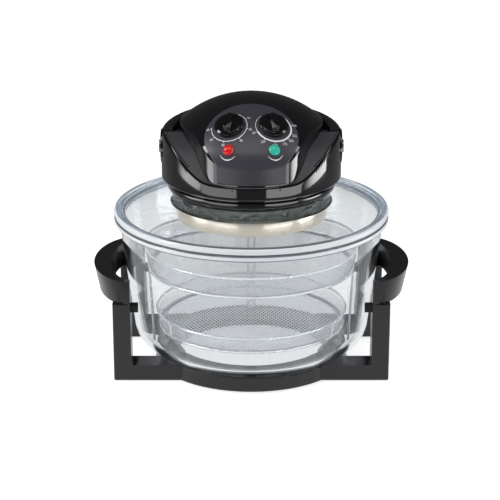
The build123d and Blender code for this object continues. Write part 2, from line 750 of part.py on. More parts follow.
def head_base():
    """Lower collar, recessed neck and the pan that carries the motor."""
    body = turned(closed([
        (lid_hole_radius + 0.5, collar_base), (collar_radius - 4, collar_base), (collar_radius - 1, collar_base + 3),
        (collar_radius, collar_top - 1.5), (collar_radius - 1.5, collar_top), (neck_radius, collar_top),
        (neck_radius, shell_bottom), (neck_radius - head_wall, shell_bottom),
        (neck_radius - head_wall, pan_floor + pan_thickness), (motor_shaft_radius + 5, pan_floor + pan_thickness),
        (motor_shaft_radius + 5, pan_floor), (lid_hole_radius + 0.5, pan_floor)]))
    for x, y in head_screw_places():
        body -= rod(screw_radius + 0.2, pan_floor - 1, pan_floor + pan_thickness + 1, x, y)
        body += ring_at(4.5, screw_radius + 0.2, pan_floor + pan_thickness, shell_bottom, x, y)
    return body


def ring_at(outer, inner, bottom, top, x, y):
    return Pos(x, y, 0) * ring(outer, inner, bottom, top)


def head_screws():
    group = []
    for x, y in head_screw_places():
        group.append(rod(screw_radius, pan_floor, shell_bottom + 13.8, x, y)
                     + rod(screw_radius + 1.6, pan_floor - 2.0, pan_floor, x, y))
    return Compound(children=group)


def steel_skirt():
    """Bright skirt below the head, with a neck through the glass collar."""
    neck = lid_hole_radius - 1.5
    step = lid_shoulder - lid_wall - 2.0
    return turned(closed([
        (skirt_radius - skirt_wall, skirt_bottom), (skirt_radius, skirt_bottom), (skirt_radius, step),
        (neck, step + 1), (neck, pan_floor), (neck - skirt_wall, pan_floor), (neck - skirt_wall, step),
        (skirt_radius - skirt_wall, step - 1)]))


def reflector_dish():
    neck = lid_hole_radius - 1.5 - skirt_wall
    body = turned(closed([
        (motor_shaft_radius + 6, dish_height), (fan_radius + 6, dish_height), (neck, dish_height - 4),
        (neck, dish_height - 3), (fan_radius + 6, dish_height + 1), (motor_shaft_radius + 6, dish_height + 1)]))
    return body


def convection_fan():
    base = dish_height - 5.0
    body = ring(fan_radius - 4, motor_shaft_radius, base, base + 1.2)
    body += ring(9, motor_shaft_radius, base - 6, base + 1.2)
    for i in range(fan_blades):
        body += Rot(0, 0, 360 * i / fan_blades) * block(9 - 1, fan_radius, -0.6, 0.6, base - 7, base + 0.4)
    return body


def motor_shaft():
    return rod(motor_shaft_radius, dish_height - 12, cooling_base + 8)


motor_base = pan_floor + pan_thickness + 8.0
cooling_base = motor_base + motor_height + 6.0


def motor():
    body = ring(motor_radius, motor_shaft_radius + shaft_clearance, motor_base, motor_base + motor_height)
    return fillet(body.edges().filter_by(GeomType.CIRCLE).filter_by(
        lambda e: e.radius > motor_radius - 1), 3.0)


def motor_bracket():
    plate = ring(motor_radius + 8, motor_shaft_radius + 4, motor_base - 2.0, motor_base)
    for i in range(4):
        a = math.radians(45 + 90 * i)
        r = motor_radius + 4
        plate += rod(3.0, pan_floor + pan_thickness, motor_base - 1.0, r * math.cos(a), r * math.sin(a))
    return plate


def cooling_fan():
    body = ring(10, motor_shaft_radius, cooling_base, cooling_base + 7)
    root = 9.0
    for i in range(6):
        blade = Pos((cooling_fan_radius + root) / 2, 0, cooling_base + 3.5) * Rot(28, 0, 0) * Box(
            cooling_fan_radius - root, 12, 1.2)
        blade = Rot(0, 0, 60 * i) * blade
        body += blade
    return body


def halogen_tube():
    """Glass ring with a gap at the rear and its ends turned up into the holders."""
    a = math.radians(15)
    start = (tube_ring_radius * math.sin(a), tube_ring_radius * math.cos(a), tube_height)
    end = (-start[0], start[1], tube_height)
    arc = ThreePointArc(start, (0, -tube_ring_radius, tube_height), end)
    body = sweep(Plane(arc @ 0, z_dir=arc % 0) * Circle(tube_radius), path=arc)
    for x in (start[0], end[0]):
        body += Pos(x, start[1], tube_height) * Sphere(tube_radius)
        body += rod(tube_radius, tube_height, tube_height + 8, x, start[1])
    return body


def lamp_holders():
    a = math.radians(15)
    x, y = tube_ring_radius * math.sin(a), tube_ring_radius * math.cos(a)
    group = []
    for sx in (-1, 1):
        top = dish_height - (y_offset_drop(math.hypot(x, y)))
        body = block(sx * x - 8, sx * x + 8, y - 8, y + 8, tube_height + 6, top)
        body -= rod(tube_radius, tube_height, tube_height + 8, sx * x, y)
        group.append(body)
    return Compound(children=group)


def y_offset_drop(radius):
    """How far the dish's underside has fallen at a radius, plus the width of a holder."""
    inner, outer = fan_radius + 6, lid_hole_radius - 1.5 - skirt_wall
    return 4.0 * (radius + 12 - inner) / (outer - inner)


def lamp_guard():
    """Wire guard in the mouth of the skirt."""
    height = skirt_bottom + wire_radius
    outer = skirt_radius - skirt_wall - guard_wire_radius - 0.1
    spoke = Pos(0, 0, height) * Rot(0, 90, 0) * Cylinder(guard_wire_radius * 0.9, 2 * outer)
    rings = [wire_ring(radius, height, guard_wire_radius) for radius in guard_rings]
    return wire_ring(outer, height, guard_wire_radius) + rings + [Rot(0, 0, 45 * i) * spoke for i in range(4)]


def thermal_cutout():
    return rod(8, dish_height + 1, dish_height + 6, 30, 20)


def safety_switch():
    top = shell_rear_top - head_wall - 0.05
    body = block(-10, 10, switch_y - 5, switch_y + 4, top - 14, top)
    return switch_turn * (body - rod(plunger_radius + shaft_clearance, top - 8, top + 1, 0, switch_y))


def switch_plunger():
    return switch_turn * rod(plunger_radius, shell_rear_top - head_wall - 6, handle_base - gap / 3, 0, switch_y)


def terminal_block():
    top = pan_floor + pan_thickness
    return block(-18, 18, 52, 66, top, top + 12)


def cord_inlet():
    """Strain relief in the rear wall; the cord itself isn't shown."""
    body = Pos(0, head_radius - 3, inlet_height) * Rot(90, 0, 0) * Cylinder(inlet_radius, 12)
    flange = Pos(0, head_radius + 3.5, inlet_height) * Rot(90, 0, 0) * Cylinder(inlet_radius + 2, 5)
    body += flange - rod(head_radius + 0.05, under_head, over_head)
    return body - Pos(0, head_radius, inlet_height) * Rot(90, 0, 0) * Cylinder(3.5, 40)


# ---------------------------------------------------------------- build

timer_plane, thermostat_plane = dial_planes()
red_plane, green_plane = lamp_planes()

parts["stand_ring"] = stand_ring()
for side, sx in (("left", -1), ("right", 1)):
    parts["stand_leg_front_" + side] = stand_leg(sx, -1)
    parts["stand_leg_rear_" + side] = stand_leg(sx, 1)
    parts["handle_" + side] = handle_loop(sx)
parts["rubber_feet"] = feet()
parts["stand_screws"] = stand_screws()
parts["handle_screws"] = handle_screws()
parts["bowl_bumpers"] = bumpers()
parts["bowl_pads"] = bowl_pads()
parts["glass_bowl"] = glass_bowl()
parts["high_rack_frame"] = high_rack_frame()
parts["high_rack_net"] = rack_net(high_rack_radius, high_rack_floor)
parts["high_rack_band"] = rack_band(high_rack_radius, high_rack_floor, high_rack_depth)
parts["low_rack_frame"] = low_rack_frame()
parts["low_rack_net"] = rack_net(low_rack_radius, low_rack_floor)
parts["low_rack_band"] = rack_band(low_rack_radius, low_rack_floor, low_rack_depth)
parts["glass_lid"] = glass_lid()
parts["lid_seal"] = lid_seal()
parts["head_base"] = head_base()
parts["body_shell"] = body_shell()
parts["dome_cover"] = dome_cover()
parts["control_panel"] = control_panel()
parts["timer_knob"] = knob(timer_plane)
parts["thermostat_knob"] = knob(thermostat_plane)
parts["timer_shaft"] = knob_shaft(timer_plane)
parts["thermostat_shaft"] = knob_shaft(thermostat_plane)
parts["timer_unit"] = control_unit(timer_plane, 31, 32, 22)
parts["thermostat_unit"] = control_unit(thermostat_plane, 29, 30, 20)
parts["red_lens"] = lens(red_plane)
parts["green_lens"] = lens(green_plane)
parts["lamp_bodies"] = lamp_bodies()
parts["carry_handle"] = carry_handle()
parts["pivot_pins"] = pivot_pins()
parts["pivot_bushes"] = pivot_bushes()
parts["head_screws"] = head_screws()
parts["steel_skirt"] = steel_skirt()
parts["reflector_dish"] = reflector_dish()
parts["convection_fan"] = convection_fan()
parts["motor_shaft"] = motor_shaft()
parts["motor"] = motor()
parts["motor_bracket"] = motor_bracket()
parts["cooling_fan"] = cooling_fan()
parts["halogen_tube"] = halogen_tube()
parts["lamp_holders"] = lamp_holders()
parts["lamp_guard"] = lamp_guard()
parts["thermal_cutout"] = thermal_cutout()
parts["safety_switch"] = safety_switch()
parts["switch_plunger"] = switch_plunger()
parts["terminal_block"] = terminal_block()
parts["cord_inlet"] = cord_inlet()

os.makedirs("parts", exist_ok=True)
for name, shape in parts.items():
    export_step(shape, os.path.join("parts", name + ".step"))
    print(name, len(shape.solids()), round(shape.volume, 1))
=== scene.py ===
import math
import bmesh
import bpy
import numpy as np
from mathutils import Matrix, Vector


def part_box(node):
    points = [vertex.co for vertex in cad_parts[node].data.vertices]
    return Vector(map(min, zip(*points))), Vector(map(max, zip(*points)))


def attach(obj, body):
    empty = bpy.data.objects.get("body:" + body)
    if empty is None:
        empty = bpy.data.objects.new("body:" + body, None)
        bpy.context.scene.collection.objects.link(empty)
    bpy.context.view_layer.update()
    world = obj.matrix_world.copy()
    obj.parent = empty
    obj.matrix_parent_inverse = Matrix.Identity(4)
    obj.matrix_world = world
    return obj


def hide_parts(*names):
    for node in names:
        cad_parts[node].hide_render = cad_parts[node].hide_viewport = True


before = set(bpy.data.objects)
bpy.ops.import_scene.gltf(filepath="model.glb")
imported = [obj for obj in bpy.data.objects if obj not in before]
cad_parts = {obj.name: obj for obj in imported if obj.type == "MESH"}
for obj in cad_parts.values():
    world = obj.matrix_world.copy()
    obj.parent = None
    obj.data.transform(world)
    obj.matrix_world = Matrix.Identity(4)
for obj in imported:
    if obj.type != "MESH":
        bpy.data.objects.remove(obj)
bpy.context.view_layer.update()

# ---------------------------------------------------------------- camera
# The view of the photograph: a long lens two metres away, a little above the lid.
# The oven stands a hair to the right of the picture's middle.

camera_distance = 2.1
camera_elevation = math.radians(19.3)
camera_aim = (-0.0016, 0.0, 0.1366)
focal_pixels = 1729.5
picture_pixels = 500

camera = bpy.data.objects.new("camera", bpy.data.cameras.new("camera"))
bpy.context.scene.collection.objects.link(camera)
bpy.context.scene.camera = camera
camera.data.sensor_width = 36.0
camera.data.lens = focal_pixels / picture_pixels * camera.data.sensor_width
camera.location = (camera_aim[0], camera_aim[1] - camera_distance * math.cos(camera_elevation),
                   camera_aim[2] + camera_distance * math.sin(camera_elevation))
camera.rotation_euler = (math.pi / 2 - camera_elevation, 0, 0)
bpy.context.scene.view_settings.view_transform = "Standard"


# ---------------------------------------------------------------- studio
# A white sweep under plain soft boxes: one overhead and a tall one at each side,
# with a dark gap between them in front, which the gloss black plastic shows as a stripe.

def linear(colour):
    """Turns an sRGB hex colour into linear red, green, blue and an alpha of one."""
    parts = np.array([int(colour[i:i + 2], 16) for i in (1, 3, 5)]) / 255
    parts = np.where(parts <= 0.04045, parts / 12.92, ((parts + 0.055) / 1.055) ** 2.4)
    return (*parts.tolist(), 1.0)


def add_node(tree, kind, inputs=None, **settings):
    """Adds one node; inputs are values or the sockets of other nodes, settings its own properties."""
    node = tree.nodes.new(kind)
    for key, value in settings.items():
        setattr(node, key, value)
    for key, value in (inputs or {}).items():
        if isinstance(value, bpy.types.NodeSocket):
            tree.links.new(value, node.inputs[key])
        else:
            node.inputs[key].default_value = value
    return node


def new_material(name):
    """An empty node material and its output node."""
    material = bpy.data.materials.new(name)
    material.use_nodes = True
    tree = material.node_tree
    tree.nodes.clear()
    return material, tree, add_node(tree, "ShaderNodeOutputMaterial")


sweep_size = 14.0
table_radius = 1.1          # past this the gloss sees a dim room
floor_glow = 0.66           # as the camera sees it, on top of the lamps' light
floor_seen = {"near": 0.8, "mirror": 0.1, "glass": 0.93}    # as gloss and glass see it
near_radius, near_edge = 0.36, 0.56
floor_material, tree, output = new_material("white_sweep")
path = add_node(tree, "ShaderNodeLightPath")
place = add_node(tree, "ShaderNodeTexCoord")
distance = add_node(tree, "ShaderNodeVectorMath", {0: place.outputs["Object"]}, operation="LENGTH")
near = add_node(tree, "ShaderNodeMapRange", {
    "Value": distance.outputs["Value"], "From Min": table_radius, "From Max": table_radius * 1.8,
    "To Min": floor_seen["mirror"], "To Max": 0.03})
close = add_node(tree, "ShaderNodeMapRange", {
    "Value": distance.outputs["Value"], "From Min": near_radius, "From Max": near_edge,
    "To Min": floor_seen["near"], "To Max": 0.0}, interpolation_type="SMOOTHSTEP")
brightest = add_node(tree, "ShaderNodeMath", {0: near.outputs["Result"], 1: close.outputs["Result"]}, operation="MAXIMUM")
mirrored = add_node(tree, "ShaderNodeMath", {0: path.outputs["Is Glossy Ray"], 1: brightest.outputs[0]},
                    operation="MULTIPLY")
refracted = add_node(tree, "ShaderNodeMath", {0: path.outputs["Is Transmission Ray"], 1: floor_seen["glass"]},
                     operation="MULTIPLY")
seen = add_node(tree, "ShaderNodeMath", {0: mirrored.outputs[0], 1: refracted.outputs[0]}, operation="MAXIMUM")
direct = add_node(tree, "ShaderNodeMath", {0: path.outputs["Is Camera Ray"], 1: floor_glow}, operation="MULTIPLY")
glow = add_node(tree, "ShaderNodeMath", {0: seen.outputs[0], 1: direct.outputs[0]}, operation="MAXIMUM")
tone = add_node(tree, "ShaderNodeMix", {"Factor": path.outputs["Is Glossy Ray"]}, data_type="RGBA")
tone.inputs[6].default_value, tone.inputs[7].default_value = linear("#dcdcdc"), linear("#4a4a4c")
lit = add_node(tree, "ShaderNodeBsdfDiffuse", {"Color": tone.outputs[2]})
own = add_node(tree, "ShaderNodeEmission", {"Color": (1, 1, 1, 1), "Strength": glow.outputs[0]})
both = add_node(tree, "ShaderNodeAddShader", {0: lit.outputs[0], 1: own.outputs[0]})
tree.links.new(both.outputs[0], output.inputs["Surface"])
half = sweep_size / 2
floor_mesh = bpy.data.meshes.new("floor")
floor_mesh.from_pydata([(-half, -half, 0), (half, -half, 0), (half, half, 0), (-half, half, 0)], [], [(0, 1, 2, 3)])
floor_mesh.materials.append(floor_material)
floor = bpy.data.objects.new("floor", floor_mesh)
bpy.context.scene.collection.objects.link(floor)

world = bpy.data.worlds.new("room")
bpy.context.scene.world = world
world.use_nodes = True
tree = world.node_tree
tree.nodes.clear()
path = add_node(tree, "ShaderNodeLightPath")
fill_light, room_dimness = 0.5, 0.055
side_start, side_end = 0.62, 0.9    # glass sees dark walls past these shares of straight sideways
heading = add_node(tree, "ShaderNodeTexCoord")
split = add_node(tree, "ShaderNodeSeparateXYZ", {0: heading.outputs["Generated"]})
sideways = add_node(tree, "ShaderNodeMath", {0: split.outputs["X"]}, operation="ABSOLUTE")
wall = add_node(tree, "ShaderNodeMapRange", {"Value": sideways.outputs[0], "From Min": side_start, "From Max": side_end},
                interpolation_type="SMOOTHSTEP")
room = add_node(tree, "ShaderNodeMix", {"Factor": wall.outputs["Result"]}, data_type="RGBA")
room.inputs[6].default_value, room.inputs[7].default_value = linear("#f4f6f9"), linear("#4d5c6b")
dim = add_node(tree, "ShaderNodeMapRange", {"Value": path.outputs["Is Glossy Ray"], "To Min": fill_light,
                                            "To Max": room_dimness})
strength = add_node(tree, "ShaderNodeMath", {0: dim.outputs[0], 1: path.outputs["Is Camera Ray"]}, operation="MAXIMUM")
plain = add_node(tree, "ShaderNodeBackground", {"Color": (1, 1, 1, 1), "Strength": strength.outputs[0]})
through = add_node(tree, "ShaderNodeBackground", {"Color": room.outputs[2], "Strength": 1.0})
backdrop = add_node(tree, "ShaderNodeMixShader", {0: path.outputs["Is Transmission Ray"], 1: plain.outputs[0],
                                                  2: through.outputs[0]})
add_node(tree, "ShaderNodeOutputWorld", {"Surface": backdrop.outputs[0]})


def soft_box(name, azimuth, elevation, distance, width, height, radiance, aim=0.2, fade=0.0):
    """A lamp that faces the oven's middle at the height aim; azimuth counts from the front to the right, in degrees.

    fade is the share of its width over which each end goes dark.
    """
    light = bpy.data.lights.new(name, "AREA")
    light.shape = "RECTANGLE"
    light.size, light.size_y = width, height
    light.energy = radiance * math.pi * width * height
    if fade:
        light.use_nodes = True
        tree = light.node_tree
        tree.nodes.clear()
        spot = add_node(tree, "ShaderNodeNewGeometry")
        across = add_node(tree, "ShaderNodeSeparateXYZ", {0: spot.outputs["Parametric"]})
        ends = add_node(tree, "ShaderNodeMath", {0: across.outputs["X"], 1: 1.0, 2: 0.5}, operation="PINGPONG")
        glow = add_node(tree, "ShaderNodeMapRange", {"Value": ends.outputs[0], "From Max": fade},
                        interpolation_type="SMOOTHSTEP")
        own = add_node(tree, "ShaderNodeEmission", {"Strength": glow.outputs["Result"]})
        add_node(tree, "ShaderNodeOutputLight", {"Surface": own.outputs[0]})
    lamp = bpy.data.objects.new(name, light)
    a, e = math.radians(azimuth), math.radians(elevation)
    lamp.location = (distance * math.sin(a) * math.cos(e), -distance * math.cos(a) * math.cos(e),
                     aim + distance * math.sin(e))
    lamp.rotation_euler = (math.pi / 2 - e, 0, a)
    lamp.visible_camera = False
    bpy.context.scene.collection.objects.link(lamp)


soft_box("box_left", -78, 37, 1.9, 0.5, 1.0, 9.0)
soft_box("box_right", 78, 37, 1.9, 0.45, 1.0, 4.2)
soft_box("box_above", 0, 68, 1.9, 1.5, 1.0, 1.7)
# Low strips on the table, left and right of its middle, which the upright bands of the head mirror.
soft_box("strip_left", -40, 0, 0.75, 0.62, 0.16, 2.2, 0.085)
soft_box("strip_right", 40, 0, 0.75, 0.62, 0.16, 2.9, 0.085)
soft_box("strip_far_left", -84, 0, 0.8, 0.6, 0.16, 4.5, 0.085, fade=0.5)
soft_box("strip_far_right", 84, 0, 0.8, 0.6, 0.16, 7.0, 0.085, fade=0.5)


# ---------------------------------------------------------------- stand
# Ring, four legs with floor bars and two loop handles, injection moulded in black ABS
# with a satin finish, screwed together from below.

millimetre = 0.001


def place_of(node):
    """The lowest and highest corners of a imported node, in millimetres."""
    low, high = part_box(node)
    return np.array(low) / millimetre, np.array(high) / millimetre


def dress(node, material):
    """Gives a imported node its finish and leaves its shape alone."""
    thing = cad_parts[node]
    thing.data.materials.clear()
    thing.data.materials.append(material)
    thing.data.polygons.foreach_set("material_index", np.zeros(len(thing.data.polygons), int))
    return thing


def black_abs(name, colour, smudged, roughness, grain, relief, coat=0.0):
    """Moulded ABS. The eye sees a deep black with a sheen that handling has made uneven.

    grain is the texture's size in millimetres and relief its depth; colour and smudged are
    the clean and the handled tone, and roughness its lowest and highest value.
    """
    material, tree, output = new_material(name)
    place = add_node(tree, "ShaderNodeTexCoord")
    handled = add_node(tree, "ShaderNodeTexNoise", {"Vector": place.outputs["Object"], "Scale": 1 / (45 * millimetre),
                                                    "Detail": 4.0})
    tone = add_node(tree, "ShaderNodeMix", {"Factor": handled.outputs["Fac"]}, data_type="RGBA")
    tone.inputs[6].default_value, tone.inputs[7].default_value = linear(colour), linear(smudged)
    worn = add_node(tree, "ShaderNodeMapRange", {"Value": handled.outputs["Fac"], "From Min": 0.3, "From Max": 0.7,
                                                 "To Min": roughness[0], "To Max": roughness[1]})
    pits = add_node(tree, "ShaderNodeTexNoise", {"Vector": place.outputs["Object"], "Scale": 1 / (grain * millimetre),
                                                 "Detail": 2.0})
    bump = add_node(tree, "ShaderNodeBump", {"Height": pits.outputs["Fac"], "Strength": relief,
                                             "Distance": 0.05 * millimetre})
    shader = add_node(tree, "ShaderNodeBsdfPrincipled", {
        "Base Color": tone.outputs[2], "Roughness": worn.outputs["Result"], "Normal": bump.outputs["Normal"],
        "IOR": 1.54, "Coat Weight": coat, "Coat Roughness": 0.03})
    tree.links.new(shader.outputs[0], output.inputs["Surface"])
    return material


# The grain of spark-eroded tools is 0.1 mm; it is drawn at 0.6 mm so that it shows.
satin_abs = black_abs("abs_satin_moulded", "#131215", "#19181c", (0.20, 0.28), 0.6, 0.2)
rubber_material = black_abs("rubber_moulded", "#141414", "#1f1f1f", (0.7, 0.85), 0.8, 0.5)
for node in ("stand_ring", "stand_leg_front_left", "stand_leg_front_right", "stand_leg_rear_left",
             "stand_leg_rear_right", "handle_left", "handle_right"):
    dress(node, satin_abs)
for node in ("rubber_feet", "bowl_bumpers", "bowl_pads", "cord_inlet"):
    dress(node, rubber_material)


# ---------------------------------------------------------------- glass bowl
# A pressed borosilicate bowl with thick walls and a rounded bead for a rim. Clear,
# but its edges gather the glass's own blue-green.

def mesh_piece(name, points, faces, material, body, slot, replaced=(), crease=None):
    """Puts arrays of points, in millimetres, and faces into a mesh that rides on a body."""
    mesh = bpy.data.meshes.new(name)
    mesh.from_pydata((np.asarray(points) * millimetre).tolist(), [], np.asarray(faces).tolist())
    work = bmesh.new()
    work.from_mesh(mesh)
    bmesh.ops.remove_doubles(work, verts=work.verts, dist=0.01 * millimetre)
    bmesh.ops.dissolve_degenerate(work, edges=work.edges, dist=0.005 * millimetre)
    bmesh.ops.recalc_face_normals(work, faces=work.faces)
    work.to_mesh(mesh)
    work.free()
    mesh.polygons.foreach_set("use_smooth", np.ones(len(mesh.polygons), bool))
    if crease:
        mesh.set_sharp_from_angle(angle=math.radians(crease))
    mesh.materials.append(material)
    thing = bpy.data.objects.new(name, mesh)
    bpy.context.scene.collection.objects.link(thing)
    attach(thing, body)
    if replaced:
        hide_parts(*replaced)
    return thing


def grid_faces(rows, columns, close_rows=False, close_columns=False, start=0):
    """Quads that join neighbours in a grid of points; a closed direction joins its last to its first."""
    i = np.arange(rows if close_rows else rows - 1)[:, None]
    j = np.arange(columns if close_columns else columns - 1)[None, :]
    a = i * columns + j
    b = (i + 1) % rows * columns + j
    c = (i + 1) % rows * columns + (j + 1) % columns
    d = i * columns + (j + 1) % columns
    return start + np.stack([a, b, c, d], axis=-1).reshape(-1, 4)


def rounded(points, radii, closed=False, turn=8):
    """A polyline whose corners are arcs: each arc touches both of its lines, one radius a corner."""
    points = [np.array(p, float) for p in points]
    out = []
    for i, corner in enumerate(points):
        radius = radii[i] if i < len(radii) else 0.0
        if not radius or not closed and i in (0, len(points) - 1):
            out.append(corner)
            continue
        before = points[i - 1] - corner
        after = points[(i + 1) % len(points)] - corner
        before_length, after_length = np.linalg.norm(before), np.linalg.norm(after)
        before, after = before / before_length, after / after_length
        opening = math.acos(np.clip(before @ after, -1, 1))
        cut = min(radius / math.tan(opening / 2), 0.49 * before_length, 0.49 * after_length)
        radius = cut * math.tan(opening / 2)
        middle = (before + after) / np.linalg.norm(before + after)
        centre = corner + middle * math.hypot(cut, radius)
        steps = max(2, int(math.degrees(math.pi - opening) / turn) + 1)
        first = corner + before * cut - centre
        last = corner + after * cut - centre
        share = np.linspace(0, 1, steps + 1)[:, None]
        whole = math.pi - opening
        out.extend(centre + (np.sin((1 - share) * whole) * first + np.sin(share * whole) * last) / math.sin(whole))
    return np.array(out)


def turned(profile, sides=192):
    """A surface of revolution: every (radius, height) of the profile goes round the Z axis."""
    angle = np.linspace(0, 2 * math.pi, sides, endpoint=False)
    radius, height = profile[:, 0][:, None], profile[:, 1][:, None]
    return np.stack([radius * np.cos(angle), radius * np.sin(angle),
                     np.broadcast_to(height, (len(profile), sides))], axis=-1).reshape(-1, 3)


def turned_piece(name, profile, material, body, slot, replaced=(), sides=192, crease=None):
    """A closed ring, or a disc where the profile starts and ends on the axis."""
    on_axis = profile[0][0] < 1e-6
    faces = grid_faces(len(profile), sides, close_rows=not on_axis, close_columns=True)
    return mesh_piece(name, turned(profile, sides), faces, material, body, slot, replaced, crease)


def pressed_glass(name, tint, depth_mm, waviness, wave_mm=28, clear=1.0, depth=0.6, painted_glow=0.0):
    """Borosilicate: IOR 1.47, with a tint that grows over depth_mm of glass and waves wave_mm long.

    Where clear is under one, seeds and tool marks in thick glass scatter the rest of the light.
    Its emission is painted glow: a pale light that stands in for the light which enters all over the glass, runs inside
    the wall and leaves at the bead.
    """
    material, tree, output = new_material(name)
    place = add_node(tree, "ShaderNodeTexCoord")
    flow = add_node(tree, "ShaderNodeTexNoise", {"Vector": place.outputs["Object"], "Scale": 1 / (wave_mm * millimetre),
                                                 "Detail": 1.5})
    bump = add_node(tree, "ShaderNodeBump", {"Height": flow.outputs["Fac"], "Strength": waviness,
                                             "Distance": depth * millimetre})
    shader = add_node(tree, "ShaderNodeBsdfPrincipled", {
        "Base Color": (1, 1, 1, 1), "Roughness": 0.0, "IOR": 1.47, "Transmission Weight": clear,
        "Emission Color": linear("#dceaf6"), "Emission Strength": painted_glow, "Normal": bump.outputs["Normal"]})
    tree.links.new(shader.outputs[0], output.inputs["Surface"])
    inside = add_node(tree, "ShaderNodeVolumeAbsorption", {"Color": linear(tint), "Density": 1 / (depth_mm * millimetre)})
    tree.links.new(inside.outputs[0], output.inputs["Volume"])
    return material


glass = pressed_glass("borosilicate_pressed", "#a9c4d2", 60, 0.12)
# The bead and edge faces carry a faint painted glow: an emission that stands in for light piped through the glass to
# the rim.
bead_glass = pressed_glass("borosilicate_bead", "#a9c6da", 40, 0.12, clear=0.5, painted_glow=0.24)
edge_glass = pressed_glass("borosilicate_edge", "#6f9cc0", 26, 0.12, clear=0.9, painted_glow=0.05)


def faces_finished(thing, material, chosen):
    """Gives a second finish to the faces whose centres, in millimetres, chosen picks."""
    mesh = thing.data
    mesh.materials.append(material)
    centres = np.empty(len(mesh.polygons) * 3)
    mesh.polygons.foreach_get("center", centres)
    index = np.empty(len(mesh.polygons), int)
    mesh.polygons.foreach_get("material_index", index)
    index[chosen(*(centres.reshape(-1, 3).T / millimetre))] = len(mesh.materials) - 1
    mesh.polygons.foreach_set("material_index", index)



bowl_low, bowl_high = place_of("glass_bowl")
rim_radius = bowl_high[0]
bowl_wall = 5.0
bowl_bead = 8.0             # height of the rim's bead
neck_radius = 158.5
base_radius = 118.0
base_corner = 26.0
bead_bottom = bowl_high[2] - bowl_bead
outer_side = [(0, bowl_low[2]), (base_radius + base_corner * 0.84, bowl_low[2]), (neck_radius, bead_bottom),
              (rim_radius, bead_bottom + 0.4), (rim_radius, bowl_high[2]), (neck_radius - bowl_wall - 1.2, bowl_high[2])]
inner_side = [(base_radius + base_corner * 0.82 - bowl_wall, bowl_low[2] + bowl_wall), (0, bowl_low[2] + bowl_wall)]
bowl_profile = rounded(outer_side + inner_side, [0, base_corner * 1.35, 1.5, 3.8, 3.4, 3.0,
                                                 base_corner * 1.35 - bowl_wall, 0])
bowl = turned_piece("glass_bowl_clear", bowl_profile, glass, "bowl", "bowl_glass", ["glass_bowl"], 256)
faces_finished(bowl, edge_glass, lambda x, y, z: z > bead_bottom + 0.2)
faces_finished(bowl, bead_glass, lambda x, y, z: (z > bead_bottom + 2.2) & (z < bowl_high[2] - 1.6)
               & (np.hypot(x, y) > rim_radius - 2.5))


# ---------------------------------------------------------------- racks
# Two round baskets of chromed wire rings with a floor and side of expanded metal,
# each on three legs bent from one wire; the tall one stands astride the low one.

def wire(path, normal, radius, sides=10, closed=False):
    """A round wire: a circle carried along a path that lies in one plane with that normal."""
    path = np.asarray(path, float)
    if closed:
        along = np.roll(path, -1, 0) - np.roll(path, 1, 0)
    else:
        along = np.gradient(path, axis=0)
    along /= np.linalg.norm(along, axis=1, keepdims=True)
    across = np.cross(along, normal)
    angle = np.linspace(0, 2 * math.pi, sides, endpoint=False)
    points = (path[:, None, :] + radius * (np.cos(angle)[None, :, None] * np.asarray(normal, float)
                                           + np.sin(angle)[None, :, None] * across[:, None, :]))
    faces = grid_faces(len(path), sides, close_rows=closed, close_columns=True)
    return points.reshape(-1, 3), faces


def joined(pieces):
    """Several (points, faces) pairs as one."""
    offsets = np.cumsum([0] + [len(p) for p, _ in pieces[:-1]])
    return np.concatenate([p for p, _ in pieces]), np.concatenate([f + o for (_, f), o in zip(pieces, offsets)])


def wire_circle(radius, height, thickness):
    angle = np.linspace(0, 2 * math.pi, 180, endpoint=False)
    path = np.stack([radius * np.cos(angle), radius * np.sin(angle), np.full_like(angle, height)], axis=-1)
    return wire(path, (0, 0, 1), thickness, closed=True)


def bent_leg(top_radius, foot_radius, top, foot, spread, thickness, angle):
    """One wire down, across and up again, in the plane through both upper ends."""
    path = rounded([(top_radius, -spread, top), (foot_radius, -spread, foot), (foot_radius, spread, foot),
                    (top_radius, spread, top)], [0, spread * 0.8, spread * 0.8, 0], turn=12)
    turn = math.radians(angle)
    spin = np.array([[math.cos(turn), -math.sin(turn), 0], [math.sin(turn), math.cos(turn), 0], [0, 0, 1]])
    down = np.array([foot_radius - top_radius, 0, foot - top])
    normal = np.cross(down, (0, 1, 0))
    return wire(path @ spin.T, spin @ (normal / np.linalg.norm(normal)), thickness)


def expanded_metal(long_way, short_way, strand, wanted, mapped):
    """Diamonds in staggered rows, each a frame of four strands: wanted picks the cells, mapped bends them."""
    rows, columns = np.meshgrid(np.arange(-90, 91), np.arange(-300, 301), indexing="ij")
    centre = np.stack([columns * long_way / 2, rows * short_way / 2], axis=-1)[(rows + columns) % 2 == 0]
    centre = centre[wanted(centre[:, 0], centre[:, 1])]
    corners = np.array([(long_way / 2, 0), (0, short_way / 2), (-long_way / 2, 0), (0, -short_way / 2)])
    open_share = 1 - strand
    outer = centre[:, None, :] + corners
    inner = centre[:, None, :] + corners * open_share
    flat = np.concatenate([outer, inner], axis=1).reshape(-1, 2)
    first = np.arange(len(centre))[:, None] * 8
    k = np.arange(4)[None, :]
    faces = np.stack([first + k, first + (k + 1) % 4, first + 4 + (k + 1) % 4, first + 4 + k], axis=-1).reshape(-1, 4)
    return mapped(flat[:, 0], flat[:, 1]), faces


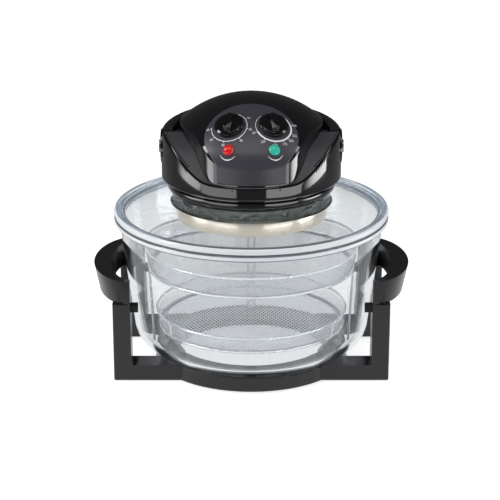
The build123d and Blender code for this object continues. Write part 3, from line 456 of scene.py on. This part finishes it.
def bright_wire(name, colour, roughness, spot_mm, metallic):
    """Nickel and chrome plate on steel: a pale gleam, less than a mirror, as wires this thin only scatter light."""
    material, tree, output = new_material(name)
    place = add_node(tree, "ShaderNodeTexCoord")
    spots = add_node(tree, "ShaderNodeTexNoise", {"Vector": place.outputs["Object"], "Scale": 1 / (spot_mm * millimetre),
                                                  "Detail": 3.0})
    uneven = add_node(tree, "ShaderNodeMapRange", {"Value": spots.outputs["Fac"], "From Min": 0.3, "From Max": 0.7,
                                                   "To Min": roughness * 0.7, "To Max": roughness * 1.5})
    shader = add_node(tree, "ShaderNodeBsdfPrincipled", {
        "Base Color": linear(colour), "Metallic": metallic, "Roughness": uneven.outputs["Result"]})
    tree.links.new(shader.outputs[0], output.inputs["Surface"])
    return material


chrome = bright_wire("chrome_plate_on_wire", "#f6f7f9", 0.2, 6, 0.45)
mesh_metal = bright_wire("chrome_plate_on_expanded_metal", "#f6f7fa", 0.35, 4, 0.2)
taper = 3.0                 # a basket's lower ring is this much smaller
leg_wire = 1.4
seat_gap = 0.3
net_thickness = 0.4
for rack, foot_inset, leg_angles in (("high_rack", 4.5, (90, 188, 352)), ("low_rack", 16.0, (90, 213, 327))):
    low, high = place_of(rack + "_frame")
    net_low, net_high = place_of(rack + "_net")
    ring_wire = 1.6
    top_radius = high[0] - ring_wire
    top = high[2] - ring_wire
    floor_height = net_low[2] + 0.5
    low_radius = top_radius - taper
    bowl_floor = low[2] - seat_gap
    pieces = [wire_circle(top_radius, top, ring_wire), wire_circle(low_radius, floor_height, ring_wire)]
    for angle in leg_angles:
        pieces.append(bent_leg(low_radius, low_radius - foot_inset, floor_height,
                               bowl_floor + seat_gap + leg_wire, 4.0, leg_wire, angle))
    for angle in np.radians(leg_angles):
        ends = [(low_radius * math.cos(angle), low_radius * math.sin(angle), floor_height),
                (top_radius * math.cos(angle), top_radius * math.sin(angle), top)]
        pieces.append(wire(ends, (-math.sin(angle), math.cos(angle), 0), leg_wire))
    mesh_piece(rack + "_wires", *joined(pieces), chrome, rack, "chromed_wire", [rack + "_frame"])
    net_radius = low_radius - ring_wire - 0.2
    turns = round(2 * math.pi * net_radius / 6.4) // 2 * 2
    around = 2 * math.pi / turns
    net = expanded_metal(5.0, 9.0, 0.25, lambda x, y: np.hypot(x, y) < net_radius - 4.4,
                         lambda x, y: np.stack([x, y, np.full_like(x, floor_height)], axis=-1))
    edge = np.linspace(0, 2 * math.pi, 180, endpoint=False)
    rim = np.concatenate([np.stack([r * np.cos(edge), r * np.sin(edge), np.full_like(edge, floor_height)], axis=-1)
                          for r in (net_radius - 4.6, net_radius)])
    side_height = top - floor_height - 2.0
    rows = round(side_height / 3.4)
    side = expanded_metal(1.0, side_height / rows, 0.16,
                          lambda u, v: (u > -0.01) & (u < turns - 0.01) & (v > 0.01) & (v < side_height - 0.01),
                          lambda u, v: np.stack([(net_radius + taper * v / side_height) * np.cos(u * around),
                                                 (net_radius + taper * v / side_height) * np.sin(u * around),
                                                 floor_height + v], axis=-1))
    net_piece = mesh_piece(rack + "_net", *joined([net, (rim, grid_faces(2, 180, close_columns=True)), side]),
                           mesh_metal, rack, "chromed_mesh", [rack + "_net", rack + "_band"])
    thick = net_piece.modifiers.new("thickness", "SOLIDIFY")
    thick.thickness = net_thickness * millimetre
    thick.offset = 0.0


# ---------------------------------------------------------------- glass lid
# Pressed from the same glass as the bowl: a bead that sits on the bowl's rim, a gently
# rising ring and an upright collar, whose crinkled wall carries the heater head.

lid_low, lid_high = place_of("glass_lid")
lid_bead_top = lid_low[2] + 8.5
lid_shoulder = lid_bead_top + 9.0
hole_radius = 88.0
lid_wall = 4.5
inner_rim = rim_radius - 9.0
collar_radius = hole_radius + lid_wall
lid_profile = rounded([
    (inner_rim - 0.5, lid_low[2] + 0.3), (rim_radius - 0.2, lid_low[2] + 0.3), (rim_radius, lid_bead_top),
    (inner_rim + 1.0, lid_bead_top), (inner_rim - 2.5, lid_bead_top - 3.2), (collar_radius + 3, lid_shoulder - 0.5),
    (collar_radius, lid_high[2]), (hole_radius, lid_high[2]), (hole_radius, lid_shoulder - lid_wall - 0.5),
    (inner_rim - 4.0, lid_bead_top - lid_wall - 3.0)],
    [2.0, 3.4, 4.0, 2.4, 3.0, 4.0, 1.0, 1.0, 1.5, 2.0], closed=True)
lid = turned_piece("glass_lid_clear", lid_profile, glass, "lid", "bowl_glass", ["glass_lid"], 256)
faces_finished(lid, edge_glass, lambda x, y, z: np.hypot(x, y) > inner_rim - 1.5)
faces_finished(lid, bead_glass, lambda x, y, z: (z > lid_low[2] + 1.6) & (z < lid_bead_top - 0.6)
               & (np.hypot(x, y) > rim_radius - 3.2))
# The collar's outer wall was pressed in a crinkled mould, which breaks what shows through it into sparks.
crinkled_glass = pressed_glass("borosilicate_crinkled", "#c4d2cc", 30, 1.0, wave_mm=4.5, clear=0.97, depth=6.0)
faces_finished(lid, crinkled_glass, lambda x, y, z: (np.hypot(x, y) > collar_radius - 1.5)
               & (np.hypot(x, y) < collar_radius + 3.5))


# ---------------------------------------------------------------- steel skirt
# A polished stainless band that hangs inside the lid's hole and carries the lamp guard;
# its beige cast is a painted reflection: a warm tint in its colour stands in for the light of its own inside.

def rolled_steel(name, colour, roughness, stretch):
    """Stainless sheet, rolled round: fine lines run along the band, so it gleams in upright streaks."""
    material, tree, output = new_material(name)
    place = add_node(tree, "ShaderNodeTexCoord")
    drawn = add_node(tree, "ShaderNodeMapping", {"Vector": place.outputs["Object"], "Scale": (1, 1, stretch)})
    lines = add_node(tree, "ShaderNodeTexNoise", {"Vector": drawn.outputs["Vector"], "Scale": 1 / (8 * millimetre),
                                                  "Detail": 5.0})
    uneven = add_node(tree, "ShaderNodeMapRange", {"Value": lines.outputs["Fac"], "From Min": 0.3, "From Max": 0.7,
                                                   "To Min": roughness * 0.8, "To Max": roughness * 1.3})
    bump = add_node(tree, "ShaderNodeBump", {"Height": lines.outputs["Fac"], "Strength": 0.15,
                                             "Distance": 0.05 * millimetre})
    shader = add_node(tree, "ShaderNodeBsdfPrincipled", {
        "Base Color": linear(colour), "Metallic": 1.0, "Roughness": uneven.outputs["Result"],
        "Normal": bump.outputs["Normal"]})
    tree.links.new(shader.outputs[0], output.inputs["Surface"])
    return material


# The skirt steel's beige colour is painted reflection, standing in for the warm light of the skirt's inside.
skirt_steel = rolled_steel("stainless_painted_warm_reflection", "#d8cfc0", 0.16, 14)
plain_steel = rolled_steel("steel_sheet_galvanised", "#b9babc", 0.3, 1)
skirt_low, skirt_high = place_of("steel_skirt")
skirt_radius = skirt_high[0]
skirt_wall = 1.2
skirt_neck = hole_radius - 1.5
skirt_step = lid_shoulder - lid_wall - 2.0
skirt_profile = rounded([
    (skirt_radius - skirt_wall, skirt_low[2]), (skirt_radius, skirt_low[2]), (skirt_radius, skirt_step),
    (skirt_neck, skirt_step + 1.2), (skirt_neck, skirt_high[2]), (skirt_neck - skirt_wall, skirt_high[2]),
    (skirt_neck - skirt_wall, skirt_step), (skirt_radius - skirt_wall, skirt_step - 1.0)],
    [0.5, 0.5, 1.5, 0.8, 0.3, 0.3, 0.8, 0.8], closed=True)
turned_piece("steel_skirt_polished", skirt_profile, skirt_steel, "lid", "skirt_steel", ["steel_skirt"], 192, crease=50)


# ---------------------------------------------------------------- heater parts
# What shows through the glass under the head: quartz tube lamp, guard wires, fan and
# dish, all on the steel pan.

def plain_finish(name, colour, roughness, metallic=0.0, transmission=0.0, glow=0.0):
    """A small inner part: its own tone with a slight unevenness over a few millimetres."""
    material, tree, output = new_material(name)
    place = add_node(tree, "ShaderNodeTexCoord")
    spots = add_node(tree, "ShaderNodeTexNoise", {"Vector": place.outputs["Object"], "Scale": 1 / (5 * millimetre),
                                                  "Detail": 3.0})
    uneven = add_node(tree, "ShaderNodeMapRange", {"Value": spots.outputs["Fac"], "From Min": 0.3, "From Max": 0.7,
                                                   "To Min": roughness * 0.8, "To Max": min(1.0, roughness * 1.25)})
    shader = add_node(tree, "ShaderNodeBsdfPrincipled", {
        "Base Color": linear(colour), "Metallic": metallic, "Roughness": uneven.outputs["Result"],
        "Transmission Weight": transmission, "Emission Color": linear(colour), "Emission Strength": glow})
    tree.links.new(shader.outputs[0], output.inputs["Surface"])
    return material


ceramic = plain_finish("steatite_ceramic", "#e6e0d2", 0.35)
grey_plastic = plain_finish("nylon_moulded_grey", "#6f6f6c", 0.5)
fan_metal = plain_finish("aluminium_stamped", "#c6c8ca", 0.3, metallic=1.0)
quartz = plain_finish("quartz_tube", "#f4ead6", 0.08, transmission=0.8)
zinc = plain_finish("zinc_plate_on_steel", "#a9acad", 0.35, metallic=1.0)
silicone = plain_finish("silicone_moulded", "#9a9a98", 0.45, transmission=0.2)
for node, material in {
        "lamp_guard": chrome, "reflector_dish": plain_steel, "convection_fan": fan_metal, "motor_shaft": zinc,
        "motor": plain_steel, "motor_bracket": plain_steel, "cooling_fan": grey_plastic, "halogen_tube": quartz,
        "lamp_holders": ceramic, "thermal_cutout": ceramic, "safety_switch": grey_plastic,
        "switch_plunger": grey_plastic, "terminal_block": ceramic, "timer_unit": grey_plastic,
        "thermostat_unit": grey_plastic, "timer_shaft": zinc, "thermostat_shaft": zinc, "lamp_bodies": grey_plastic,
        "pivot_bushes": grey_plastic, "pivot_pins": zinc, "head_screws": zinc, "stand_screws": zinc,
        "handle_screws": zinc, "lid_seal": silicone}.items():
    dress(node, material)


# ---------------------------------------------------------------- head base
# The moulding under the head: a bulging lower collar, a deep groove and the pan, in the
# same gloss black ABS as the body above it.

gloss_abs = black_abs("abs_gloss_moulded", "#0b0a0c", "#100f12", (0.05, 0.10), 14.0, 0.06, coat=0.4)
base_low, base_high = place_of("head_base")
collar_top = base_low[2] + 12.0
base_radius_out = base_high[0]
groove_radius = 97.0
base_profile = rounded([
    (hole_radius + 0.5, base_low[2]), (base_radius_out - 5, base_low[2]), (base_radius_out, base_low[2] + 5),
    (base_radius_out, collar_top), (groove_radius, collar_top), (groove_radius, base_high[2]),
    (groove_radius - 2.6, base_high[2]), (groove_radius - 2.6, collar_top + 2.5), (8.0, collar_top + 2.5),
    (8.0, collar_top), (hole_radius + 0.5, collar_top)],
    [0.8, 3.0, 3.0, 2.0, 0.6, 0.2, 0.2, 1.0, 0.3, 0.3, 1.0], closed=True)
turned_piece("head_base_moulding", base_profile, gloss_abs, "lid", "head_plastic", ["head_base"], 192, crease=40)


# ---------------------------------------------------------------- dome cover
# The gloss black cover of the head: part of a ball on a round wall, whose front comes
# forward like a visor, softly rounded down to the band. Bosses at its sides carry the handle's pins.

ball_radius = 128.6
ball_centre = place_of("dome_cover")[1][2] - ball_radius
dome_back = 84.5
visor_half = 73.0
visor_reach = 127.0
visor_front = 105.5
visor_corner = 40.0
dome_bottom = place_of("dome_cover")[0][2]
cover_wall = 2.6
pivot_height = 268.0


def soft_min(a, b, blend):
    """The smaller of two values, with the change from one to the other rounded over blend."""
    return 0.5 * (a + b - np.sqrt((a - b) ** 2 + blend ** 2))


def dome_outline(angle, inset):
    """Plan radius of the cover: a drum at the back, and in front half an ellipse cut off by a circle."""
    across, along = np.cos(angle) / (visor_half - inset), np.sin(angle) / (visor_reach - inset)
    visor = soft_min(1 / np.hypot(across, along), visor_front - inset, 7.0)
    visor = np.where(np.sin(angle) < 0, visor, 0)
    return -soft_min(-visor, -(dome_back - inset), 3.0)


def visor_height(radius, inset):
    """Height of the skin at a distance from the axis: the ball's arc, then the corner's arc down to the front wall."""
    ball, corner = ball_radius - inset, visor_corner - inset
    middle = visor_front - visor_corner
    middle_height = ball_centre + math.sqrt((ball_radius - visor_corner) ** 2 - middle ** 2)
    meeting = middle * ball / (ball_radius - visor_corner)
    on_ball = ball_centre + np.sqrt(np.maximum(ball ** 2 - radius ** 2, 0))
    on_corner = middle_height + np.sqrt(np.maximum(corner ** 2 - (radius - middle) ** 2, 0))
    return np.where(radius < meeting, on_ball, on_corner)


def cover_rows(angle, inset, corner):
    """Points of one skin, from its top down to its rim: visor_height, a small rounded edge, then the wall."""
    outline = dome_outline(angle, inset)
    share = np.sin(np.linspace(0, math.pi / 2, 48))[:, None]
    radius = share * (outline - corner * 0.2)
    height = visor_height(radius, inset)
    bend = np.linspace(0, math.pi / 2, 7)[1:, None]
    edge_radius = outline - corner * 0.2 * (1 - np.sin(bend))
    edge_height = np.maximum(height[-1:] - corner * (1 - np.cos(bend)), dome_bottom)
    down = np.linspace(0, 1, 6)[1:, None]
    wall_height = edge_height[-1:] * (1 - down) + dome_bottom * down
    radius = np.concatenate([radius, edge_radius, np.broadcast_to(outline, wall_height.shape)])
    height = np.concatenate([height, edge_height, wall_height])
    return np.stack([radius * np.cos(angle), radius * np.sin(angle), height], axis=-1)


def side_disc(inner, outer, radius, edge, side, sides=96):
    """A round boss about the pivots' axis, from inner to outer, with its outer edge rounded."""
    bend = np.linspace(0, math.pi / 2, 6)
    reach = np.concatenate([[0, radius], radius - edge + edge * np.cos(bend), [0]])
    out = np.concatenate([[inner, inner], outer - edge + edge * np.sin(bend), [outer]])
    turn = np.linspace(0, 2 * math.pi, sides, endpoint=False)
    points = np.stack([np.broadcast_to(side * out[:, None], (len(out), sides)), reach[:, None] * np.cos(turn),
                       pivot_height + reach[:, None] * np.sin(turn)], axis=-1)
    return points.reshape(-1, 3), grid_faces(len(out), sides, close_columns=True)


angle = np.linspace(0, 2 * math.pi, 360, endpoint=False)
outside = cover_rows(angle, 0.0, 5.0)
inside = cover_rows(angle, cover_wall, 3.0)[::-1]
skins = np.concatenate([outside, inside])
bosses = [side_disc(dome_back - 2.0, place_of("pivot_bushes")[0][0] * -1 - 2.2, 19.0, 2.0, side) for side in (-1, 1)]
mesh_piece("dome_cover_gloss", *joined([(skins.reshape(-1, 3), grid_faces(len(skins), len(angle), close_columns=True))]
                                       + bosses),
           gloss_abs, "lid", "head_plastic", ["dome_cover"], crease=50)


# ---------------------------------------------------------------- body shell
# The lower shell of the head: an upright band in front, shoulders that rise to each side
# of the fascia, and a low rear deck under the carry handle, with vent slots at the edge.

shell_low, shell_high = place_of("body_shell")
head_radius = shell_high[0]
deck_height = 263.5
band_top = 248.0
shoulder_back = 24.5


def shoulder_height(y):
    """Height of the shoulders over their distance behind the pivots: level, steep, then nearly level again."""
    steep = 277.5 + 0.97 * (y + 62.0)
    level = 294.2 + 0.3 * (y + shoulder_back)
    return -soft_min(-soft_min(steep, level, 10.0), -band_top, 5.0)


def shell_top(x, y):
    """Height of the shell's top: the shoulders, and a level deck behind them."""
    step = np.clip((y + shoulder_back + 1.5) / 1.5, 0, 1)
    step = step * step * (3 - 2 * step)
    return shoulder_height(y) * (1 - step) + deck_height * step


slot_width, slot_depth = 1.3, 1.6
slot_turns = np.radians([270 + side * (90 - 17 - 1.5 * i) for side in (-1, 1) for i in range(20)])
notch_turns = np.radians([270 - 11.7, 270 + 2.6, 270 + 17.7])


def shell_rows(angle, sunk):
    """Points round the shell's section, for each direction: lip, wall, rounded edge, top, inner edge.

    sunk is one in a slot and zero beside it, and pulls the wall, the edge and the top's rim in.
    """
    corner = 2.5
    inner = dome_outline(angle, -0.3)
    out = head_radius
    low = shell_low[2]
    same = np.ones_like(angle)
    rows = [((out - 12) * same, low * same), ((out - 2) * same, low * same)]
    for bend in np.linspace(0, math.pi / 2, 5):
        rows.append(((out - 2 + 2 * math.sin(bend)) * same, (low + 2 - 2 * math.cos(bend)) * same))
    edge = shell_top(out * np.cos(angle), out * np.sin(angle))
    dent = slot_depth * sunk
    for below, pull in ((14.0, 0), (6.6, 0), (6.4, 1)):
        rows.append((out - dent * pull, edge - corner - below + 4.0))
    for bend in np.linspace(0, math.pi / 2, 8):
        radius = (out - corner + corner * math.cos(bend)) * same
        height = shell_top(radius * np.cos(angle), radius * np.sin(angle)) - corner * (1 - math.sin(bend))
        rows.append((radius - dent * math.cos(bend), height - dent * math.sin(bend)))
    for inward, pull in ((1.4, 1), (1.6, 0)):
        radius = (out - corner - inward) * same
        rows.append((radius, shell_top(radius * np.cos(angle), radius * np.sin(angle)) - dent * pull))
    for share in np.linspace(0, 1, 12)[1:]:
        radius = (out - corner - 1.6) * (1 - share) + np.minimum(inner, out - corner - 1.6) * share
        rows.append((radius, shell_top(radius * np.cos(angle), radius * np.sin(angle))))
    rows.append((rows[-1][0], rows[-1][1] - 5.0))
    rows.append((np.full_like(angle, out - 2.6) * 0.5 + inner * 0.5, rows[-1][1] - 1.0))
    rows.append(((out - 12) * same, (low + 2.6) * same))
    radii, heights = np.array([row[0] for row in rows]), np.array([row[1] for row in rows])
    return np.stack([radii * np.cos(angle), radii * np.sin(angle), heights], axis=-1)


step_angle = math.asin(shoulder_back / head_radius)
fine = np.linspace(-0.06, 0.06, 25)
half_slot = slot_width / 2 / head_radius
cuts = np.concatenate([slot_turns, notch_turns])
sides_of_cuts = (cuts[:, None] + half_slot * np.array([-1.12, -1.0, 1.0, 1.12])).ravel()
angle = np.concatenate([np.linspace(0, 2 * math.pi, 300, endpoint=False), 2 * math.pi - step_angle + fine,
                        math.pi + step_angle + fine])
apart = np.min(np.abs(angle[:, None] - cuts), axis=1)
angle = np.unique(np.concatenate([angle[apart > half_slot * 1.2], sides_of_cuts]))
sunk = (np.min(np.abs(angle[:, None] - cuts), axis=1) < half_slot * 1.06).astype(float)
section = shell_rows(angle, sunk)
shell = mesh_piece("body_shell_gloss", section.reshape(-1, 3),
                   grid_faces(len(section), len(angle), close_rows=True, close_columns=True),
                   gloss_abs, "lid", "head_plastic", ["body_shell"], crease=40)
# The shoulders carry the mould's fine satin grain; the band round them is polished.
shoulder_abs = black_abs("abs_satin_shoulder", "#343338", "#3a393e", (0.38, 0.46), 0.6, 0.25)
faces_finished(shell, shoulder_abs, lambda x, y, z: (z > shell_top(x, y) - 0.6) & (np.hypot(x, y) < head_radius - 1.2))


# ---------------------------------------------------------------- control panel
# A thin printed moulding let into the fascia, satin where the cover is gloss, with the
# dials' white rings and numbers and an arc under each pilot lamp printed on it.

panel_abs = black_abs("abs_satin_panel", "#35333a", "#3a3840", (0.34, 0.42), 0.8, 0.1)
panel_thickness = 1.2
dial_place = (25.0, -67.0)
lamp_place = (26.0, -92.5)


def panel_frame(x, y):
    """A point of the panel's face and its across, up and outward directions."""
    reach = math.hypot(x, y)
    middle = visor_front - visor_corner
    middle_height = ball_centre + math.sqrt((ball_radius - visor_corner) ** 2 - middle ** 2)
    if reach * (ball_radius - visor_corner) < middle * ball_radius:
        centre, radius, lean = np.array([0, 0, ball_centre]), ball_radius, reach / ball_radius
    else:
        centre = np.array([x / reach * middle, y / reach * middle, middle_height])
        radius, lean = visor_corner, (reach - middle) / visor_corner
    out = np.array([x / reach * lean, y / reach * lean, math.sqrt(1 - lean ** 2)])
    across = np.cross((0, 0, 1), out)
    across /= np.linalg.norm(across)
    return centre + out * (radius + panel_thickness), across, np.cross(out, across), out


def on_panel(place, flat, lift=0.06):
    """Bends a flat drawing at one place of the panel onto its face, lifted by the ink's thickness."""
    origin, across, up, out = panel_frame(*place)
    points = origin + flat[:, :1] * across + flat[:, 1:2] * up
    x, y = points[:, 0], points[:, 1]
    return np.stack([x, y, visor_height(np.hypot(x, y), -panel_thickness - lift)], axis=-1)


panel_low, panel_high = place_of("control_panel")
panel_half, panel_depth, panel_middle = 54.0, 38.0, -72.0
columns = []
for x in panel_half * np.sin(np.linspace(-math.pi / 2, math.pi / 2, 121)):
    reach = panel_depth * math.sqrt(max(0.0, 1 - (x / panel_half) ** 2))
    wall = -math.sqrt((visor_front + panel_thickness) ** 2 - x * x)
    wall *= float(dome_outline(math.atan2(wall, x), -panel_thickness)) / (visor_front + panel_thickness)
    front = max(panel_middle - reach, wall)
    y = np.linspace(panel_middle + reach, front, 60)
    z = visor_height(np.minimum(np.hypot(x, y), visor_front + panel_thickness), -panel_thickness)
    on_wall = panel_middle - reach < wall
    fall = np.linspace(0, 1, 14)[1:]
    y = np.concatenate([y, np.full(13, y[-1])])
    z = np.concatenate([z, z[-1] + fall * ((panel_low[2] - z[-1]) if on_wall else 0.0)])
    columns.append(np.stack([np.full(73, x), y, z], axis=-1))
panel = mesh_piece("control_panel_satin", np.array(columns).reshape(-1, 3), grid_faces(121, 73), panel_abs, "lid",
                   "panel_plastic", ["control_panel"])
thick = panel.modifiers.new("thickness", "SOLIDIFY")
thick.thickness = (panel_thickness - 0.1) * millimetre
thick.offset = -1.0


def arc_ribbon(radius, start, end, widths, flat=1.0):
    """Triangles along an arc, in degrees, whose width runs evenly through widths."""
    turn = np.radians(np.linspace(start, end, 49))
    width = np.interp(np.linspace(0, 1, 49), np.linspace(0, 1, len(widths)), widths)
    rows = [np.stack([(radius + side * width / 2) * np.cos(turn), flat * (radius + side * width / 2) * np.sin(turn)], axis=-1)
            for side in (-1, 1)]
    quads = grid_faces(2, 49)
    return np.concatenate(rows), np.concatenate([quads[:, [0, 1, 2]], quads[:, [0, 2, 3]]])


def tick(radius, angle, length, width):
    turn = math.radians(angle)
    along, aside = np.array([math.cos(turn), math.sin(turn)]), np.array([-math.sin(turn), math.cos(turn)])
    corners = [along * (radius + a * length / 2) + aside * b * width / 2 for a, b in ((-1, -1), (1, -1), (1, 1), (-1, 1))]
    return np.array(corners), np.array([(0, 1, 2), (0, 2, 3)])


def digits(text, radius, angle, height):
    """A number, upright, centred at a distance and angle from the dial's middle."""
    curve = bpy.data.curves.new("digits", "FONT")
    curve.body, curve.size = text, height / 0.7
    curve.align_x, curve.align_y = "CENTER", "CENTER"
    curve.resolution_u = 3
    thing = bpy.data.objects.new("digits", curve)
    mesh = thing.to_mesh()
    mesh.calc_loop_triangles()
    points = np.array([v.co[:2] for v in mesh.vertices])
    faces = np.array([t.vertices[:] for t in mesh.loop_triangles])
    thing.to_mesh_clear()
    bpy.data.objects.remove(thing)
    bpy.data.curves.remove(curve)
    turn = math.radians(angle)
    return points + radius * np.array([math.cos(turn), math.sin(turn)]), faces


ring_radius, label_radius, label_height = 20.8, 25.2, 2.7
timer_marks = {"10": 45, "20": 3, "30": -40, "40": -90, "50": -129, "60": -167}
thermostat_marks = {"65": -171, "125": -136, "150": -104, "175": -76, "200": -54, "225": -33, "250": 2}
printing = []
for side, marks, ring in (
        (-1, timer_marks, [(-170, 95, [0.5, 0.8, 0.8, 0.7, 0.4])]),
        (1, thermostat_marks, [(-170, 76, [1.7, 1.5, 1.6, 1.8, 1.3, 0.7]), (118, 190, [0.4, 0.6])])):
    place = (side * dial_place[0], dial_place[1])
    drawing = [arc_ribbon(ring_radius, start, end, widths) for start, end, widths in ring]
    for text, angle in marks.items():
        drawing.append(tick(ring_radius + 1.0, angle, 1.8, 0.5))
        drawing.append(digits(text, label_radius + 0.6 * (len(text) - 2) * abs(math.cos(math.radians(angle))), angle,
                              label_height))
    printing += [(on_panel(place, points), faces) for points, faces in drawing]
    points, faces = arc_ribbon(10.6, -143, -37, [0.4, 0.9, 0.4], 0.92)
    printing.append((on_panel((side * lamp_place[0], lamp_place[1]), points), faces))
print_white = plain_finish("pad_print_white", "#e4e4e8", 0.5)
mesh_piece("dial_print", *joined(printing), print_white, "lid", "panel_plastic")


# ---------------------------------------------------------------- knobs and lamps
# Two gloss knobs, each a skirt with a tapered grip across it, and two pilot lamp lenses,
# cut inside like jewels.

def carried(frame_, u, v, w):
    """Points given across, up and out from a place of the panel."""
    origin, across, up, out = frame_
    return origin + np.stack([u, v, w], axis=-1).reshape(-1, 3) @ np.array([across, up, out])


def knob_mesh(place):
    """The skirt, then the grip: rounded outlines that narrow towards the top."""
    frame_ = panel_frame(*place)
    turn = np.linspace(0, 2 * math.pi, 96, endpoint=False)
    skirt = rounded([(0, 0.5), (17.0, 0.5), (17.0, 3.0), (14.6, 4.5), (0, 4.7)], [0, 0.4, 1.0, 1.2, 0])
    pieces = [(carried(frame_, skirt[:, :1] * np.cos(turn), skirt[:, :1] * np.sin(turn),
                       np.broadcast_to(skirt[:, 1:], (len(skirt), 96))), grid_faces(len(skirt), 96, close_columns=True))]
    levels = np.array([(4.0, 5.2, 12.6), (4.9, 4.4, 12.1), (6.0, 4.1, 11.9), (9.6, 3.5, 11.3), (10.5, 3.2, 11.0),
                       (10.9, 2.5, 10.3), (11.0, 1.6, 9.4), (11.0, 0.0, 0.0)])
    power = 2 / 3.2
    u = levels[:, 1:2] * np.sign(np.cos(turn)) * np.abs(np.cos(turn)) ** power
    v = levels[:, 2:3] * np.sign(np.sin(turn)) * np.abs(np.sin(turn)) ** power
    pieces.append((carried(frame_, u, v, np.broadcast_to(levels[:, :1], u.shape)),
                   grid_faces(len(levels), 96, close_columns=True)))
    return joined(pieces)


def lens_mesh(place, radius, height, facets):
    """A low dome whose side is cut into facets."""
    frame_ = panel_frame(*place)
    turn = np.linspace(0, 2 * math.pi, 96, endpoint=False)
    bend = np.linspace(0, math.pi / 2, 14)[:, None]
    dent = 1 - 0.05 * np.abs(np.cos(turn * facets / 2)) * np.sin(2 * bend)
    reach = np.concatenate([np.full((1, 96), 4.9), radius * np.cos(bend) * dent])
    out = np.concatenate([np.full((1, 96), -0.6), np.broadcast_to(0.15 + height * np.sin(bend), dent.shape)])
    return carried(frame_, reach * np.cos(turn), reach * np.sin(turn), out), grid_faces(15, 96, close_columns=True)


knob_abs = black_abs("abs_gloss_knob", "#080808", "#0c0c0c", (0.08, 0.14), 8.0, 0.05, coat=0.3)
red_material = plain_finish("acrylic_red", "#dd2a24", 0.1, transmission=0.35, glow=0.12)
green_material = plain_finish("acrylic_green", "#35c4ac", 0.1, transmission=0.35, glow=0.12)
for side, knob, body, lens, lens_material in ((-1, "timer_knob", "timer_dial", "red_lens", red_material),
                                              (1, "thermostat_knob", "thermostat_dial", "green_lens", green_material)):
    mesh_piece(knob + "_gloss", *knob_mesh((side * dial_place[0], dial_place[1])), knob_abs, body, "knob_plastic", [knob],
               crease=40)
    mesh_piece(lens + "_cut", *lens_mesh((side * lamp_place[0], lamp_place[1]), 6.6, 4.4, 12), lens_material, "lid", lens,
               [lens], crease=60)


# ---------------------------------------------------------------- carry handle
# Half a hoop round the back of the head, from a round ear on each side, rising towards the rear.

handle_low, handle_high = place_of("carry_handle")
handle_inner, handle_outer = 93.2, 106.9
handle_base = 265.2
ear_radius = 21.0
ear_top = pivot_height + ear_radius
hoop = rounded([(handle_inner, handle_base), (handle_outer, handle_base), (handle_outer, ear_top - 0.2),
                (handle_inner, ear_top - 0.2)], [2.5, 3.0, 4.5, 3.5], closed=True, turn=12)
turn = np.linspace(0, math.pi, 97)[:, None]
climb = (handle_high[2] - ear_top) * hoop[:, 0] / handle_outer * np.sin(turn)
height = hoop[:, 1] + climb * np.clip((hoop[:, 1] - handle_base) / (ear_top - handle_base), 0, 1)
points = np.stack([hoop[:, 0] * np.cos(turn), hoop[:, 0] * np.sin(turn), height], axis=-1).reshape(-1, 3)
ears = [side_disc(handle_inner, handle_high[0], ear_radius, 2.5, side) for side in (-1, 1)]
mesh_piece("carry_handle_gloss", *joined([(points, grid_faces(97, len(hoop), close_columns=True))] + ears), gloss_abs,
           "carry_handle", "head_plastic", ["carry_handle"], crease=40)
